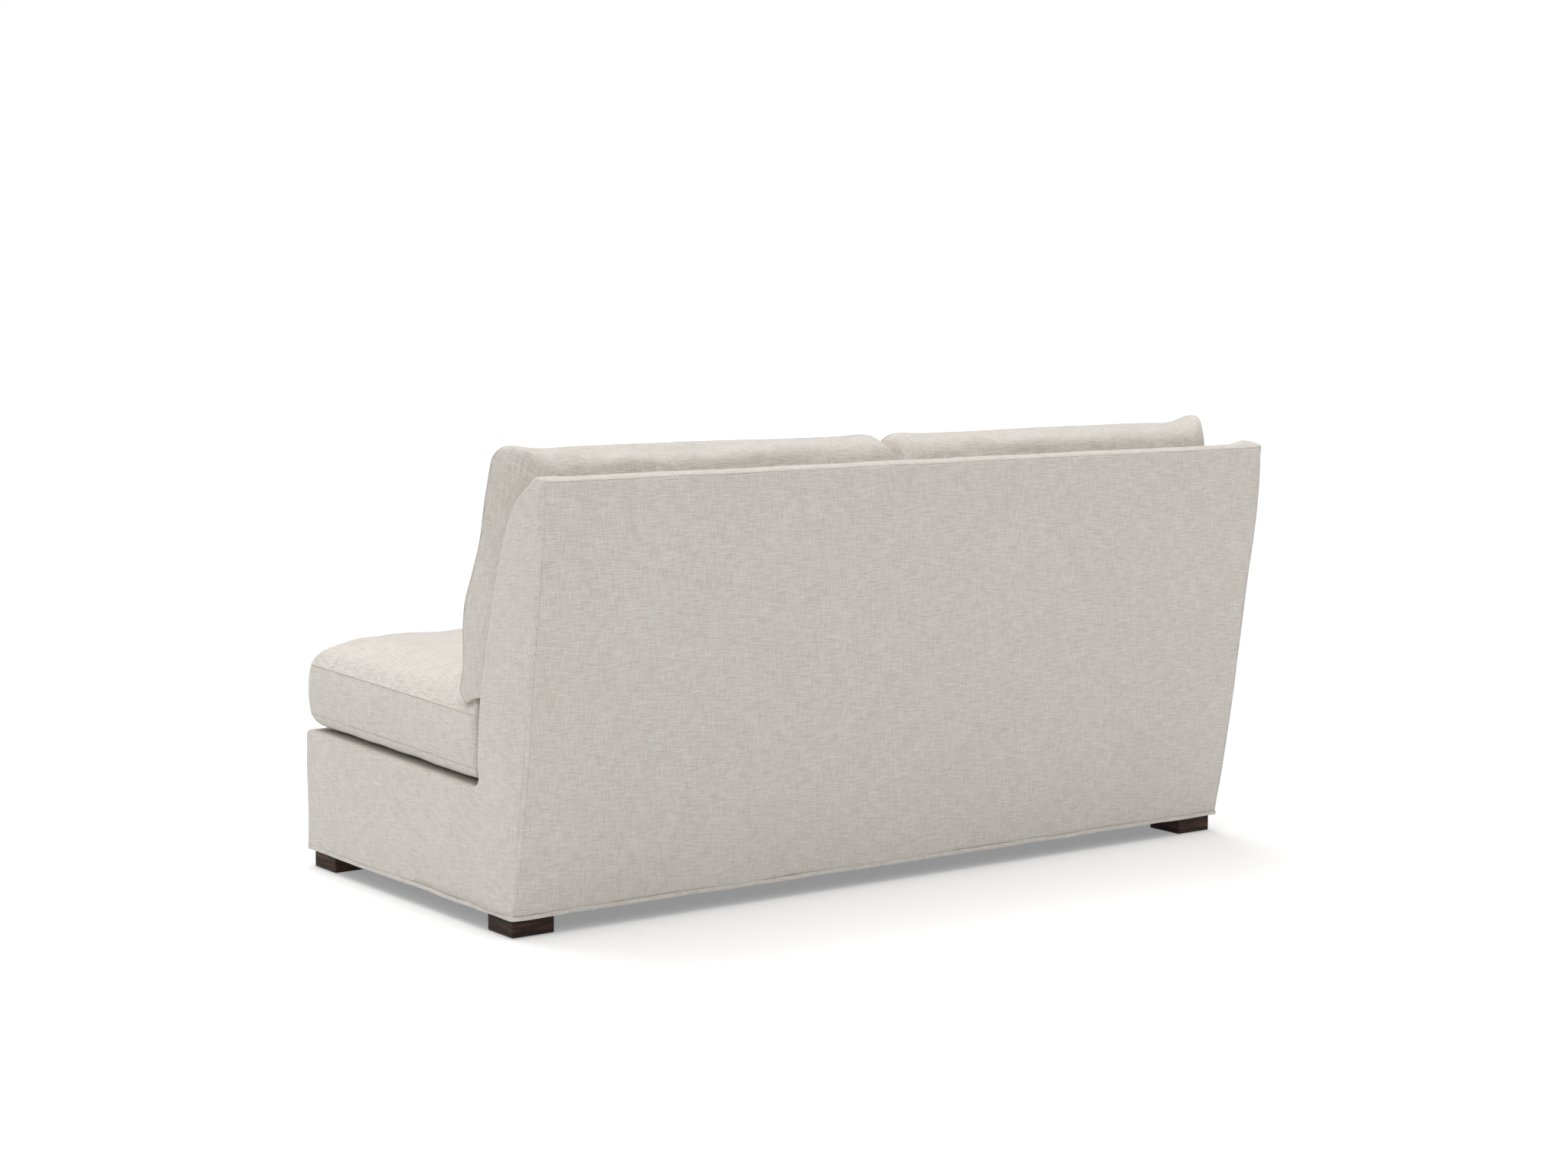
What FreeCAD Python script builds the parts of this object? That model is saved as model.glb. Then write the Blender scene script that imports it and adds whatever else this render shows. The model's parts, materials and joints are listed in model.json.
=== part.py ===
import FreeCAD, Part
import math
import os

V = FreeCAD.Vector
os.makedirs("parts", exist_ok=True)

# Armless loveseat. Millimetres, +Z up. The front faces -Y, left as seated is +X.
# The origin is on the floor, at the middle of the overall width and depth.

# ---------------------------------------------------------------- driving dimensions
HALF_W = 850.0            # half the overall width, at the hem
FRONT_Y = -446.0          # hem, front
REAR_Y = 336.0            # hem, rear
FOOT_H = 34.0             # floor to hem
HEM_H = 7.0               # sewn flange round the bottom
HEM_OUT = 3.0             # how far the flange stands proud of the covers
COVER_T = 3.0             # cover cloth with its lining
DECK_FRONT_Z = 270.0      # deck height at its front edge
DECK_SLOPE = 0.03         # the deck falls this much per millimetre towards the rear
WOOD_T = 25.0             # rails and posts
FOOT_SIDE = 85.6          # square block foot
FOOT_INSET_X = 10.3
FOOT_INSET_Y = 14.3
GLIDE_T = 1.0
BOLT_R = 4.0
N_SPRINGS = 12
SPRING_R = 1.9
N_STRAPS = 8
STRAP_W = 60.0
CUSHION_GAP = 1.5         # between the left and right cushion of a pair
SEAT_SEAM_LOW = 31.0      # heights above the deck
SEAT_SEAM_HIGH = 129.0
SEAT_CROWN = 184.0
SEAT_REAR_Y = 209.0
BACK_BULGE = 24.0         # front panel of a back cushion, ahead of its seam
BACK_TOP_Z = 850.0
FIT = 0.4                 # running clearance of the zip sliders

COVER_X = HALF_W - HEM_OUT          # outside of the end covers
COVER_FRONT = FRONT_Y + HEM_OUT     # outside of the front cover
BODY_BOTTOM = FOOT_H + HEM_H        # lower edge of the covers
FRAME_BOTTOM = FOOT_H + 2.0
FRAME_X = COVER_X - 10.0            # outside of the end frames

# ---------------------------------------------------------------- side profile, (y, z)
DECK_REAR_Y = 190.0


def deck_z(y):
    return DECK_FRONT_Z - DECK_SLOPE * (y + 430.0)


front_line = [(COVER_FRONT, BODY_BOTTOM), (COVER_FRONT, 256.0)]
front_round = [(COVER_FRONT, 256.0), (COVER_FRONT + 1.6, 263.6), (COVER_FRONT + 5.6, 268.5), (-430.0, DECK_FRONT_Z)]
deck_line = [(-430.0, DECK_FRONT_Z), (DECK_REAR_Y, deck_z(DECK_REAR_Y))]
inside_back = [
    (DECK_REAR_Y, deck_z(DECK_REAR_Y)), (203.0, 254.5), (214.0, 264.0), (220.5, 277.0), (223.0, 290.0),
    (227.0, 330.0), (232.0, 373.0), (239.5, 422.0), (250.0, 464.0), (263.0, 509.0), (277.5, 555.0),
    (294.5, 611.0), (306.5, 647.0), (320.0, 684.0), (335.0, 719.0), (351.0, 748.0), (366.0, 769.0),
    (384.0, 787.0), (404.0, 801.5), (418.0, 808.5), (430.0, 811.5),
]
top_round = [(430.0, 811.5), (439.0, 808.5), (444.2, 801.0), (446.0, 790.0)]
rear_line = [
    (334.0, BODY_BOTTOM), (338.0, 62.0), (348.0, 107.0), (367.0, 206.0), (386.0, 323.0), (405.5, 470.0),
    (422.0, 573.0), (432.0, 635.0), (439.5, 690.0), (444.0, 742.0), (446.0, 790.0),
]


def offset(pts, d, side):
    """Points moved by d across an open line: side +1 is left of its direction, -1 is right."""
    out = []
    for i, (y, z) in enumerate(pts):
        a = pts[max(i - 1, 0)]
        b = pts[min(i + 1, len(pts) - 1)]
        ty, tz = b[0] - a[0], b[1] - a[1]
        n = math.hypot(ty, tz)
        out.append((y - side * d * tz / n, z + side * d * ty / n))
    return out


def between(pts, z0, z1):
    """The points of a rising line with their heights from z0 to z1, cut exactly at both."""
    def at(z):
        for (ya, za), (yb, zb) in zip(pts, pts[1:]):
            if za <= z <= zb:
                return (ya + (yb - ya) * (z - za) / (zb - za), z)
        raise ValueError("height %g is off the line" % z)
    mid = [p for p in pts if z0 + 2.0 < p[1] < z1 - 2.0]
    return [at(z0)] + mid + [at(z1)]


def wire(segs, x):
    edges = []
    for s in segs:
        pts = [V(x, y, z) for y, z in s]
        if len(pts) == 2:
            edges.append(Part.LineSegment(pts[0], pts[1]).toShape())
        else:
            b = Part.BSplineCurve()
            b.interpolate(pts)
            edges.append(b.toShape())
    return Part.Wire(edges)


def prism(segs, x0, x1):
    """A closed (y, z) outline of lines and splines, drawn out along X."""
    return Part.Face(wire(segs, x0)).extrude(V(x1 - x0, 0, 0))


def polygon(pts, x0, x1):
    return prism([[pts[i], pts[(i + 1) % len(pts)]] for i in range(len(pts))], x0, x1)


def strip(pts, d0, d1, side, x0, x1):
    """A sheet that follows a line, from depth d0 to depth d1 below it."""
    a, b = offset(pts, d0, side), offset(pts, d1, side)
    return prism([a, [a[-1], b[-1]], b[::-1], [b[0], a[0]]], x0, x1)


def box(x0, x1, y0, y1, z0, z1):
    return Part.makeBox(x1 - x0, y1 - y0, z1 - z0, V(x0, y0, z0))


def cyl(r, h, pos, axis):
    return Part.makeCylinder(r, h, V(*pos), V(*axis))


def mirrored(shape):
    return shape.mirror(V(0, 0, 0), V(1, 0, 0))


def solids(shape):
    if shape.ShapeType == "Solid":
        return [shape]
    return list(shape.Solids)


def write(name, shape):
    found = solids(shape)
    shape = found[0] if len(found) == 1 else Part.Compound(found)
    for s in found:
        if not s.isValid() or s.Volume <= 0:
            raise ValueError("%s has a bad solid" % name)
    shape.exportStep("parts/%s.step" % name)
    b = shape.BoundBox
    print("%-24s %2d  %8.1f %8.1f  %8.1f %8.1f  %7.1f %7.1f" % (
        name, len(found), b.XMin, b.XMax, b.YMin, b.YMax, b.ZMin, b.ZMax))


# ---------------------------------------------------------------- timber frame
RAIL_X = FRAME_X - WOOD_T                    # inner face of the end frames
front_y0, front_y1 = COVER_FRONT + 11.0, COVER_FRONT + 11.0 + WOOD_T
rear_y1 = 320.0
rear_y0 = rear_y1 - WOOD_T
SPRING_DROP = 15.0                           # deck surface to the middle of the spring wire
front_top = deck_z(front_y0 + 12.0) - SPRING_DROP - 3.2
rear_top = deck_z(rear_y0 + 12.0) - SPRING_DROP - 3.2
post_front_y = 230.0

front_rail = box(-FRAME_X, FRAME_X, front_y0, front_y1, FRAME_BOTTOM, front_top)
rear_rail = box(-RAIL_X, RAIL_X, rear_y0, rear_y1, FRAME_BOTTOM, rear_top)
side_rail = box(RAIL_X, FRAME_X, front_y1, post_front_y, FRAME_BOTTOM, rear_top)
stretcher = box(270.0, 295.0, front_y1, rear_y0, FRAME_BOTTOM, 150.0)

in_34 = offset(inside_back, 34.0, -1)
in_rear = offset(rear_line, 12.0, 1)
post_top = 763.0
front_edge = between(in_34, 330.0, 752.0)
rear_edge = between(in_rear, 60.0, post_top)
post_pts = [(post_front_y, FRAME_BOTTOM), (post_front_y, 240.0), (262.0, 300.0)] + front_edge + [
    (410.0, post_top)] + rear_edge[::-1] + [(rear_y1, 52.0), (rear_y1, FRAME_BOTTOM)]
post = polygon(post_pts, RAIL_X, FRAME_X)

top_rail = box(-RAIL_X, RAIL_X, 386.0, 426.0, 690.0, 734.0)
lower_rail = box(-RAIL_X, RAIL_X, 264.0, 264.0 + WOOD_T, 292.0, 352.0)
centre_pts = [(rear_y0, rear_top), (300.0, 352.0)] + [p for p in front_edge if p[1] > 356.0] + [
    (410.0, post_top)] + [p for p in rear_edge[::-1] if p[1] > rear_top + 10.0] + [(355.0, rear_top)]
centre_post = polygon(centre_pts, -WOOD_T / 2, WOOD_T / 2).cut(top_rail).cut(lower_rail)
centre_post = max(centre_post.Solids, key=lambda s: s.Volume)


def screw(pos, axis, length):
    """A countersunk wood screw: flat head, cone and shank."""
    a = V(*axis)
    p = V(*pos)
    head = Part.makeCone(4.2, 2.2, 3.0, p, a)
    return head.fuse(Part.makeCylinder(2.2, length - 3.0, p + a * 3.0, a)).removeSplitter()


screws = []
for s in (1, -1):
    for z in (90.0, 190.0):
        screws.append(screw((s * (FRAME_X - 12.5), front_y0, z), (0, 1, 0), 70.0))
    for z in (80.0, 180.0):
        screws.append(screw((s * FRAME_X, rear_y0 + 12.5, z), (-s, 0, 0), 65.0))
    for y in (395.0, 417.0):
        screws.append(screw((s * FRAME_X, y, 712.0), (-s, 0, 0), 65.0))
    for z in (308.0, 336.0):
        screws.append(screw((s * FRAME_X, 276.0, z), (-s, 0, 0), 65.0))
    for z in (70.0, 125.0):
        screws.append(screw((s * 282.5, front_y0, z), (0, 1, 0), 70.0))
frame_screws = Part.Compound(screws)


def drilled(shape):
    bb = shape.BoundBox
    for k in screws:
        if bb.intersect(k.BoundBox):
            shape = shape.cut(k)
    return shape


# ---------------------------------------------------------------- feet and their fixings
foot_x0 = HALF_W - FOOT_INSET_X - FOOT_SIDE
foot_cx = foot_x0 + FOOT_SIDE / 2
foot_front_cy = FRONT_Y + FOOT_INSET_Y + FOOT_SIDE / 2
foot_rear_cy = REAR_Y - FOOT_INSET_Y - FOOT_SIDE / 2
feet_at = {
    "front_left": (foot_cx, foot_front_cy), "front_right": (-foot_cx, foot_front_cy),
    "rear_left": (foot_cx, foot_rear_cy), "rear_right": (-foot_cx, foot_rear_cy),
}
BLOCK_TOP = FRAME_BOTTOM + 40.0


def foot(cx, cy):
    h = FOOT_SIDE / 2
    b = box(cx - h, cx + h, cy - h, cy + h, GLIDE_T, FOOT_H)
    upright = [e for e in b.Edges if abs(e.Vertexes[0].Z - e.Vertexes[1].Z) > 1.0]
    b = b.makeFillet(2.5, upright)
    low = [e for e in b.Edges if all(abs(v.Z - GLIDE_T) < 1e-6 for v in e.Vertexes)]
    b = b.makeFillet(1.2, low)
    b = b.cut(cyl(BOLT_R, 23.0, (cx, cy, FOOT_H - 23.0), (0, 0, 1)))
    return b.cut(cyl(1.5, 9.0, (cx, cy, GLIDE_T), (0, 0, 1)))


def corner_block(cx, cy):
    """Triangular block in the corner of the seat box, drilled for the foot's bolt and its tee nut."""
    sx = 1 if cx > 0 else -1
    if cy < 0:
        y, sy = front_y1, 1
    else:
        y, sy = rear_y0, -1
    leg = 112.0
    pts = [V(sx * RAIL_X, y, FRAME_BOTTOM), V(sx * (RAIL_X - leg), y, FRAME_BOTTOM),
           V(sx * (RAIL_X - leg), y + sy * 18.0, FRAME_BOTTOM), V(sx * (RAIL_X - 18.0), y + sy * leg, FRAME_BOTTOM),
           V(sx * RAIL_X, y + sy * leg, FRAME_BOTTOM)]
    b = Part.Face(Part.makePolygon(pts + [pts[0]])).extrude(V(0, 0, BLOCK_TOP - FRAME_BOTTOM))
    b = b.cut(cyl(BOLT_R, 60.0, (cx, cy, FRAME_BOTTOM - 5.0), (0, 0, 1)))
    return b.cut(cyl(5.4, 12.0, (cx, cy, BLOCK_TOP - 12.0), (0, 0, 1)))


def tee_nut(cx, cy):
    n = cyl(5.4, 12.0, (cx, cy, BLOCK_TOP - 12.0), (0, 0, 1))
    n = n.fuse(cyl(10.0, 1.5, (cx, cy, BLOCK_TOP), (0, 0, 1)))
    return n.cut(cyl(BOLT_R, 20.0, (cx, cy, BLOCK_TOP - 15.0), (0, 0, 1))).removeSplitter()


def glide(cx, cy):
    return cyl(14.0, GLIDE_T, (cx, cy, 0.0), (0, 0, 1)).fuse(cyl(1.5, 9.0, (cx, cy, GLIDE_T), (0, 0, 1))).removeSplitter()


spots = list(feet_at.values())
hanger_bolts = Part.Compound([cyl(BOLT_R, BLOCK_TOP - 12.5, (x, y, 12.0), (0, 0, 1)) for x, y in spots])

# ---------------------------------------------------------------- springs of the seat
spring_y0 = front_y0 + 12.0
spring_y1 = rear_y0 + 12.0
loops = 26
pitch = (spring_y1 - spring_y0) / loops
run = 16.0


def spring(x):
    """Zigzag wire in a level plane: runs along X joined by half circles."""
    edges = []
    r = pitch / 2
    s = 1
    for i in range(loops + 1):
        y = spring_y0 + i * pitch
        edges.append(Part.LineSegment(V(x - s * run, y, 0), V(x + s * run, y, 0)).toShape())
        if i < loops:
            a, b = V(x + s * run, y, 0), V(x + s * run, y + pitch, 0)
            m = V(x + s * (run + r), y + r, 0)
            edges.append(Part.Arc(a, m, b).toShape())
        s = -s
    path = Part.Wire(edges)
    # the wire is drawn as an eight-sided bar
    corners = [V(x - run, spring_y0 + SPRING_R * math.cos(math.radians(22.5 + 45 * i)),
                 SPRING_R * math.sin(math.radians(22.5 + 45 * i))) for i in range(8)]
    ring = Part.makePolygon(corners + [corners[0]])
    return path.makePipeShell([ring], True, False)


def pitched(shape, drop):
    """Laid on the slope of the deck, with its zero height this far below the deck surface."""
    shape = shape.copy()
    shape.rotate(V(0, -430.0, 0), V(1, 0, 0), -math.degrees(math.atan(DECK_SLOPE)))
    shape.translate(V(0, 0, DECK_FRONT_Z - drop))
    return shape


spring_x = [-754.0 + 1508.0 * i / (N_SPRINGS - 1) for i in range(N_SPRINGS)]
one_spring = spring(0.0)
springs, clips = [], []
for x in spring_x:
    w = one_spring.copy()
    w.translate(V(x, 0, 0))
    springs.append(pitched(w, SPRING_DROP))
    for y in (spring_y0, spring_y1):
        c = box(x - 8.0, x + 8.0, y - 6.0, y + 6.0, -3.0, 3.6).cut(cyl(SPRING_R + 0.15, 40.0, (x - 20.0, y, 0), (1, 0, 0)))
        clips.append(pitched(c, SPRING_DROP))
ties = [pitched(cyl(1.4, 1560.0, (-780.0, y, -SPRING_R - 1.5), (1, 0, 0)), SPRING_DROP) for y in (-200.0, 40.0)]

# ---------------------------------------------------------------- seat deck
deck_front = -370.0
flat = [(-428.0, deck_z(-428.0)), (186.0, deck_z(186.0))]
spring_insulator = strip(flat, 10.2, 11.2, -1, -806.0, 806.0)
deck_pad = strip(flat, COVER_T + 0.2, 10.2, -1, -830.0, 830.0)
deck_cover = strip([(deck_front, deck_z(deck_front)), deck_line[1]], 0.0, COVER_T, -1, -COVER_X + COVER_T, COVER_X - COVER_T)

lip = [(-430.0, DECK_FRONT_Z), (deck_front, deck_z(deck_front))]
fr_out = [front_line, front_round, lip]
round_in = offset(front_round, COVER_T, -1)
fr_in = [[(COVER_FRONT + COVER_T, BODY_BOTTOM), (COVER_FRONT + COVER_T, 256.0)],
         [(COVER_FRONT + COVER_T, 256.0)] + round_in[1:-1] + [(-430.0, DECK_FRONT_Z - COVER_T)],
         [(-430.0, DECK_FRONT_Z - COVER_T), (deck_front - COVER_T * DECK_SLOPE, deck_z(deck_front) - COVER_T)]]
front_cover = prism(fr_out + [[fr_out[-1][-1], fr_in[-1][-1]]] + [s[::-1] for s in fr_in[::-1]] +
                    [[fr_in[0][0], fr_out[0][0]]], -COVER_X + COVER_T, COVER_X - COVER_T)
front_wadding = box(-826.0, 826.0, COVER_FRONT + COVER_T, front_y0, 52.0, 244.0)

# ---------------------------------------------------------------- back
strap_line = between(in_34, 296.0, 745.0)
straps = []
for i in range(N_STRAPS):
    x = -700.0 + 1400.0 * i / (N_STRAPS - 1)
    straps.append(strip(strap_line, -2.6, -0.6, -1, x - STRAP_W / 2, x + STRAP_W / 2))
pad_line = inside_back[4:-2]
back_pad = strip(pad_line, COVER_T + 0.6, 31.0, -1, -832.0, 832.0)
inside_back_cover_segs = [inside_back, top_round]
ib_in = offset(inside_back, COVER_T, -1)
tr_in = offset(top_round, COVER_T, -1)
joint_pt = ((ib_in[-1][0] + tr_in[0][0]) / 2, (ib_in[-1][1] + tr_in[0][1]) / 2)
inside_back_cover = prism(
    [inside_back, top_round, [top_round[-1], (443.0, 790.0)], [(443.0, 790.0)] + tr_in[1:-1][::-1] + [joint_pt],
     [joint_pt] + ib_in[:-1][::-1], [ib_in[0], inside_back[0]]], -COVER_X + COVER_T, COVER_X - COVER_T)
rear_in = offset(rear_line, COVER_T, 1)
rear_in[0] = (331.0, BODY_BOTTOM)
rear_in[-1] = (443.0, 790.0)
outside_back_cover = prism([rear_line, [rear_line[-1], rear_in[-1]], rear_in[::-1], [rear_in[0], rear_line[0]]],
                           -COVER_X + COVER_T, COVER_X - COVER_T)
outside_back_wadding = strip(between(rear_line, 62.0, 770.0), COVER_T + 0.6, 9.5, 1, -832.0, 832.0)

# ---------------------------------------------------------------- ends
end_cover = prism([front_line, front_round, deck_line, inside_back, top_round, rear_line[::-1],
                   [rear_line[0], front_line[0]]], COVER_X - COVER_T, COVER_X)
wad_in = offset(between(inside_back, 300.0, 770.0), 16.0, -1)
wad_rear = offset(between(rear_line, 62.0, 760.0), 16.0, 1)
end_wadding = polygon([(COVER_FRONT + 16.0, 60.0), (COVER_FRONT + 16.0, 250.0), (195.0, 232.0), (230.0, 262.0)] +
                      wad_in + wad_rear[::-1], FRAME_X, COVER_X - COVER_T - 0.5)

# ---------------------------------------------------------------- bottom
hem_in = 12.0
hem_welt = box(-HALF_W, HALF_W, FRONT_Y, REAR_Y, FOOT_H, BODY_BOTTOM).cut(
    box(-HALF_W + hem_in, HALF_W - hem_in, FRONT_Y + hem_in, REAR_Y - hem_in, FOOT_H - 1, BODY_BOTTOM + 1))
dust_cover = box(-HALF_W + hem_in + 0.5, HALF_W - hem_in - 0.5, FRONT_Y + hem_in + 0.5, REAR_Y - hem_in - 0.5,
                 FOOT_H, FOOT_H + 1.0)
for x, y in spots:
    dust_cover = dust_cover.cut(cyl(BOLT_R, 10.0, (x, y, FOOT_H - 5.0), (0, 0, 1)))

# ---------------------------------------------------------------- seat cushions


def crowned(a0, a1, s):
    """Outline of a box cushion across one direction, drawn s inside its outer surface: (along, height)."""
    m, h = (a0 + a1) / 2, (a1 - a0) / 2 - s
    lo, hi = SEAT_SEAM_LOW + s, SEAT_SEAM_HIGH - s
    rise = SEAT_CROWN - s - hi
    us = [1.0, 0.9, 0.72, 0.45, 0.0]
    top = [(m + h * u, hi + rise * (1 - abs(u) ** 2.3)) for u in us + [-u for u in us[-2::-1]]]
    foot_in = 74.0
    under = [(m + h - foot_in, s), (m + h - 34.0, s + 3.5), (m + h - 10.0, s + 13.0), (m + h, lo)]
    other = [(2 * m - a, z) for a, z in under]
    return [[other[0], under[0]], under, [under[-1], top[0]], top, [top[-1], other[-1]], other[::-1]]


def across(segs, y0, y1):
    """An (x, z) outline drawn out along Y."""
    edges = []
    for s in segs:
        pts = [V(x, y0, z) for x, z in s]
        if len(pts) == 2:
            edges.append(Part.LineSegment(pts[0], pts[1]).toShape())
        else:
            b = Part.BSplineCurve()
            b.interpolate(pts)
            edges.append(b.toShape())
    return Part.Face(Part.Wire(edges)).extrude(V(0, y1 - y0, 0))


def pillow(x0, x1, y0, y1, s):
    return across(crowned(x0, x1, s), y0 - 10, y1 + 10).common(prism(crowned(y0, y1, s), x0 - 10, x1 + 10))


seat_x0, seat_x1 = CUSHION_GAP / 2, COVER_X
DECK_GAP = -0.5
seat_outer = pillow(seat_x0, seat_x1, COVER_FRONT, SEAT_REAR_Y, 0.0)
seat_mid = pillow(seat_x0, seat_x1, COVER_FRONT, SEAT_REAR_Y, COVER_T)
seat_in = pillow(seat_x0, seat_x1, COVER_FRONT, SEAT_REAR_Y, COVER_T + 16.0)


def zip_parts(length):
    """A zip lying along X: tape and coil as one, and its slider with a pull. Outward is +Z here, the pull hangs along +Y."""
    h = length / 2
    tape = box(-h, h, -14.0, 14.0, 0.0, 0.8).fuse(box(-h + 4, h - 4, -2.4, 2.4, 0.8, 2.2)).removeSplitter()
    s = box(-8.0, 8.0, -5.0, 5.0, 0.8 + FIT, 4.8)
    s = s.makeFillet(1.0, [e for e in s.Edges if abs(e.Vertexes[0].Z - e.Vertexes[1].Z) > 1.0])
    s = s.cut(box(-9.0, 9.0, -2.4 - FIT, 2.4 + FIT, 0.0, 2.2 + FIT))
    pull = box(-3.6, 3.6, 2.0, 32.0, 3.4, 4.6)
    pull = pull.makeFillet(2.5, [e for e in pull.Edges if abs(e.Vertexes[0].Z - e.Vertexes[1].Z) > 1.0])
    return tape, s.fuse(pull).removeSplitter()


def placed(shape, origin, v, w):
    """Local Y goes to v and local Z to w, with local X kept along X."""
    m = FreeCAD.Matrix(1, 0, 0, origin[0], 0, v[0], w[0], origin[1], 0, v[1], w[1], origin[2], 0, 0, 0, 1)
    return shape.transformed(m)


ZIP_LEN = 720.0
tape, slider = zip_parts(ZIP_LEN)
slider.translate(V(-ZIP_LEN / 2 + 16.0, 0, 0))
seat_mx = (seat_x0 + seat_x1) / 2
seat_zip = placed(tape, (seat_mx, SEAT_REAR_Y, 80.0), (0, -1), (1, 0))
seat_slider = placed(slider, (seat_mx, SEAT_REAR_Y, 80.0), (0, -1), (1, 0))

# ---------------------------------------------------------------- back cushions
seam = [
    (152.0, 416.0), (149.0, 432.0), (152.5, 462.0), (156.0, 490.0), (157.0, 525.0), (161.0, 558.0), (170.5, 588.0),
    (185.0, 618.0), (199.0, 646.0), (212.0, 674.0), (223.0, 702.0), (235.5, 742.0), (248.5, 782.0), (261.0, 814.0),
    (275.0, 836.0),
]
z_lo, z_hi = seam[0][1], seam[-1][1]
front_panel = [(y - BACK_BULGE * math.sin(math.pi * (z - z_lo) / (z_hi - z_lo)) ** 0.8, z) for y, z in seam[1:-1]]
front_panel = [seam[0]] + front_panel + [seam[-1]]
top_panel = [(275.0, 836.0), (291.0, 846.5), (311.0, BACK_TOP_Z), (331.0, 846.0), (345.0, 832.0), (350.0, 812.0)]
lean = offset(between(inside_back, 402.0, 744.0), 1.2, 1)
rear_panel = [(350.0, 812.0), (352.0, 785.0)] + lean[::-1]
under_panel = [lean[0], seam[0]]
back_segs = [front_panel, top_panel, rear_panel, under_panel]


def inset_outline(segs, d):
    """A closed outline moved inwards by d, corner by corner."""
    pts, cuts = [], [0]
    for s in segs:
        pts += s[:-1]
        cuts.append(len(pts))
    n = len(pts)
    area = sum(pts[i][0] * pts[(i + 1) % n][1] - pts[(i + 1) % n][0] * pts[i][1] for i in range(n))
    sign = 1.0 if area > 0 else -1.0
    out = []
    for i in range(n):
        a, p, b = pts[i - 1], pts[i], pts[(i + 1) % n]
        n1 = (-(p[1] - a[1]), p[0] - a[0])
        n2 = (-(b[1] - p[1]), b[0] - p[0])
        l1, l2 = math.hypot(*n1), math.hypot(*n2)
        n1 = (n1[0] / l1, n1[1] / l1)
        n2 = (n2[0] / l2, n2[1] / l2)
        m = (n1[0] + n2[0], n1[1] + n2[1])
        k = d * sign / max(0.5, (1 + n1[0] * n2[0] + n1[1] * n2[1]))
        out.append((p[0] + m[0] * k, p[1] + m[1] * k))
    made = []
    for c0, c1 in zip(cuts, cuts[1:]):
        made.append([out[j % n] for j in range(c0, c1 + 1)])
    return made


back_outer = prism(back_segs, seat_x0, seat_x1)
back_in = prism(inset_outline(back_segs, COVER_T), seat_x0 + COVER_T, seat_x1 - COVER_T)
# The zip runs along the underside, near its rear edge.
uy, uz = under_panel[0][0] - under_panel[1][0], under_panel[0][1] - under_panel[1][1]
ul = math.hypot(uy, uz)
along = (uy / ul, uz / ul)                     # front to rear along the underside
down = (along[1], -along[0])                   # out of the underside
zo = (under_panel[1][0] + 0.52 * uy, under_panel[1][1] + 0.52 * uz)
fwd = (-along[0], -along[1])
back_zip = placed(tape, (seat_mx, zo[0], zo[1]), fwd, down)
back_slider = placed(slider, (seat_mx, zo[0], zo[1]), fwd, down)

# ---------------------------------------------------------------- one file per piece
write("front_rail", drilled(front_rail))
write("rear_rail", drilled(rear_rail))
write("side_rail_left", drilled(side_rail))
write("side_rail_right", drilled(mirrored(side_rail)))
write("cross_stretcher_left", drilled(stretcher))
write("cross_stretcher_right", drilled(mirrored(stretcher)))
write("corner_blocks", Part.Compound([corner_block(x, y) for x, y in spots]))
write("back_post_left", drilled(post))
write("back_post_right", drilled(mirrored(post)))
write("back_post_centre", centre_post)
write("back_top_rail", drilled(top_rail))
write("back_lower_rail", drilled(lower_rail))
write("frame_screws", frame_screws)
write("seat_springs", Part.Compound(springs))
write("spring_clips", Part.Compound(clips))
write("spring_tie_wires", Part.Compound(ties))
write("spring_insulator", spring_insulator)
write("deck_pad", deck_pad)
write("deck_cover", deck_cover)
write("back_webbing", Part.Compound(straps))
write("back_pad", back_pad)
write("inside_back_cover", inside_back_cover)
write("outside_back_wadding", outside_back_wadding)
write("outside_back_cover", outside_back_cover)
write("front_wadding", front_wadding)
write("front_cover", front_cover)
write("end_wadding_left", end_wadding)
write("end_wadding_right", mirrored(end_wadding))
write("end_cover_left", end_cover)
write("end_cover_right", mirrored(end_cover))
write("hem_welt", hem_welt)
write("dust_cover", dust_cover)
for name, (x, y) in feet_at.items():
    write("foot_" + name, foot(x, y))
write("hanger_bolts", hanger_bolts)
write("tee_nuts", Part.Compound([tee_nut(x, y) for x, y in spots]))
write("foot_glides", Part.Compound([glide(x, y) for x, y in spots]))

for side in ("left", "right"):
    turn = (lambda s: s) if side == "left" else mirrored
    write("seat_cover_" + side, turn(pitched(seat_outer.cut(seat_mid), DECK_GAP)))
    write("seat_wrap_" + side, turn(pitched(seat_mid.cut(seat_in), DECK_GAP)))
    write("seat_core_" + side, turn(pitched(seat_in, DECK_GAP)))
    write("seat_zip_" + side, turn(pitched(seat_zip, DECK_GAP)))
    write("seat_zip_slider_" + side, turn(pitched(seat_slider, DECK_GAP)))
    write("back_cover_" + side, turn(back_outer.cut(back_in)))
    write("back_insert_" + side, turn(back_in))
    write("back_zip_" + side, turn(back_zip))
    write("back_zip_slider_" + side, turn(back_slider))
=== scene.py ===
import json
import math

import bpy
import numpy as np
from mathutils import Matrix, Vector
from mathutils.geometry import delaunay_2d_cdt


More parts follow.
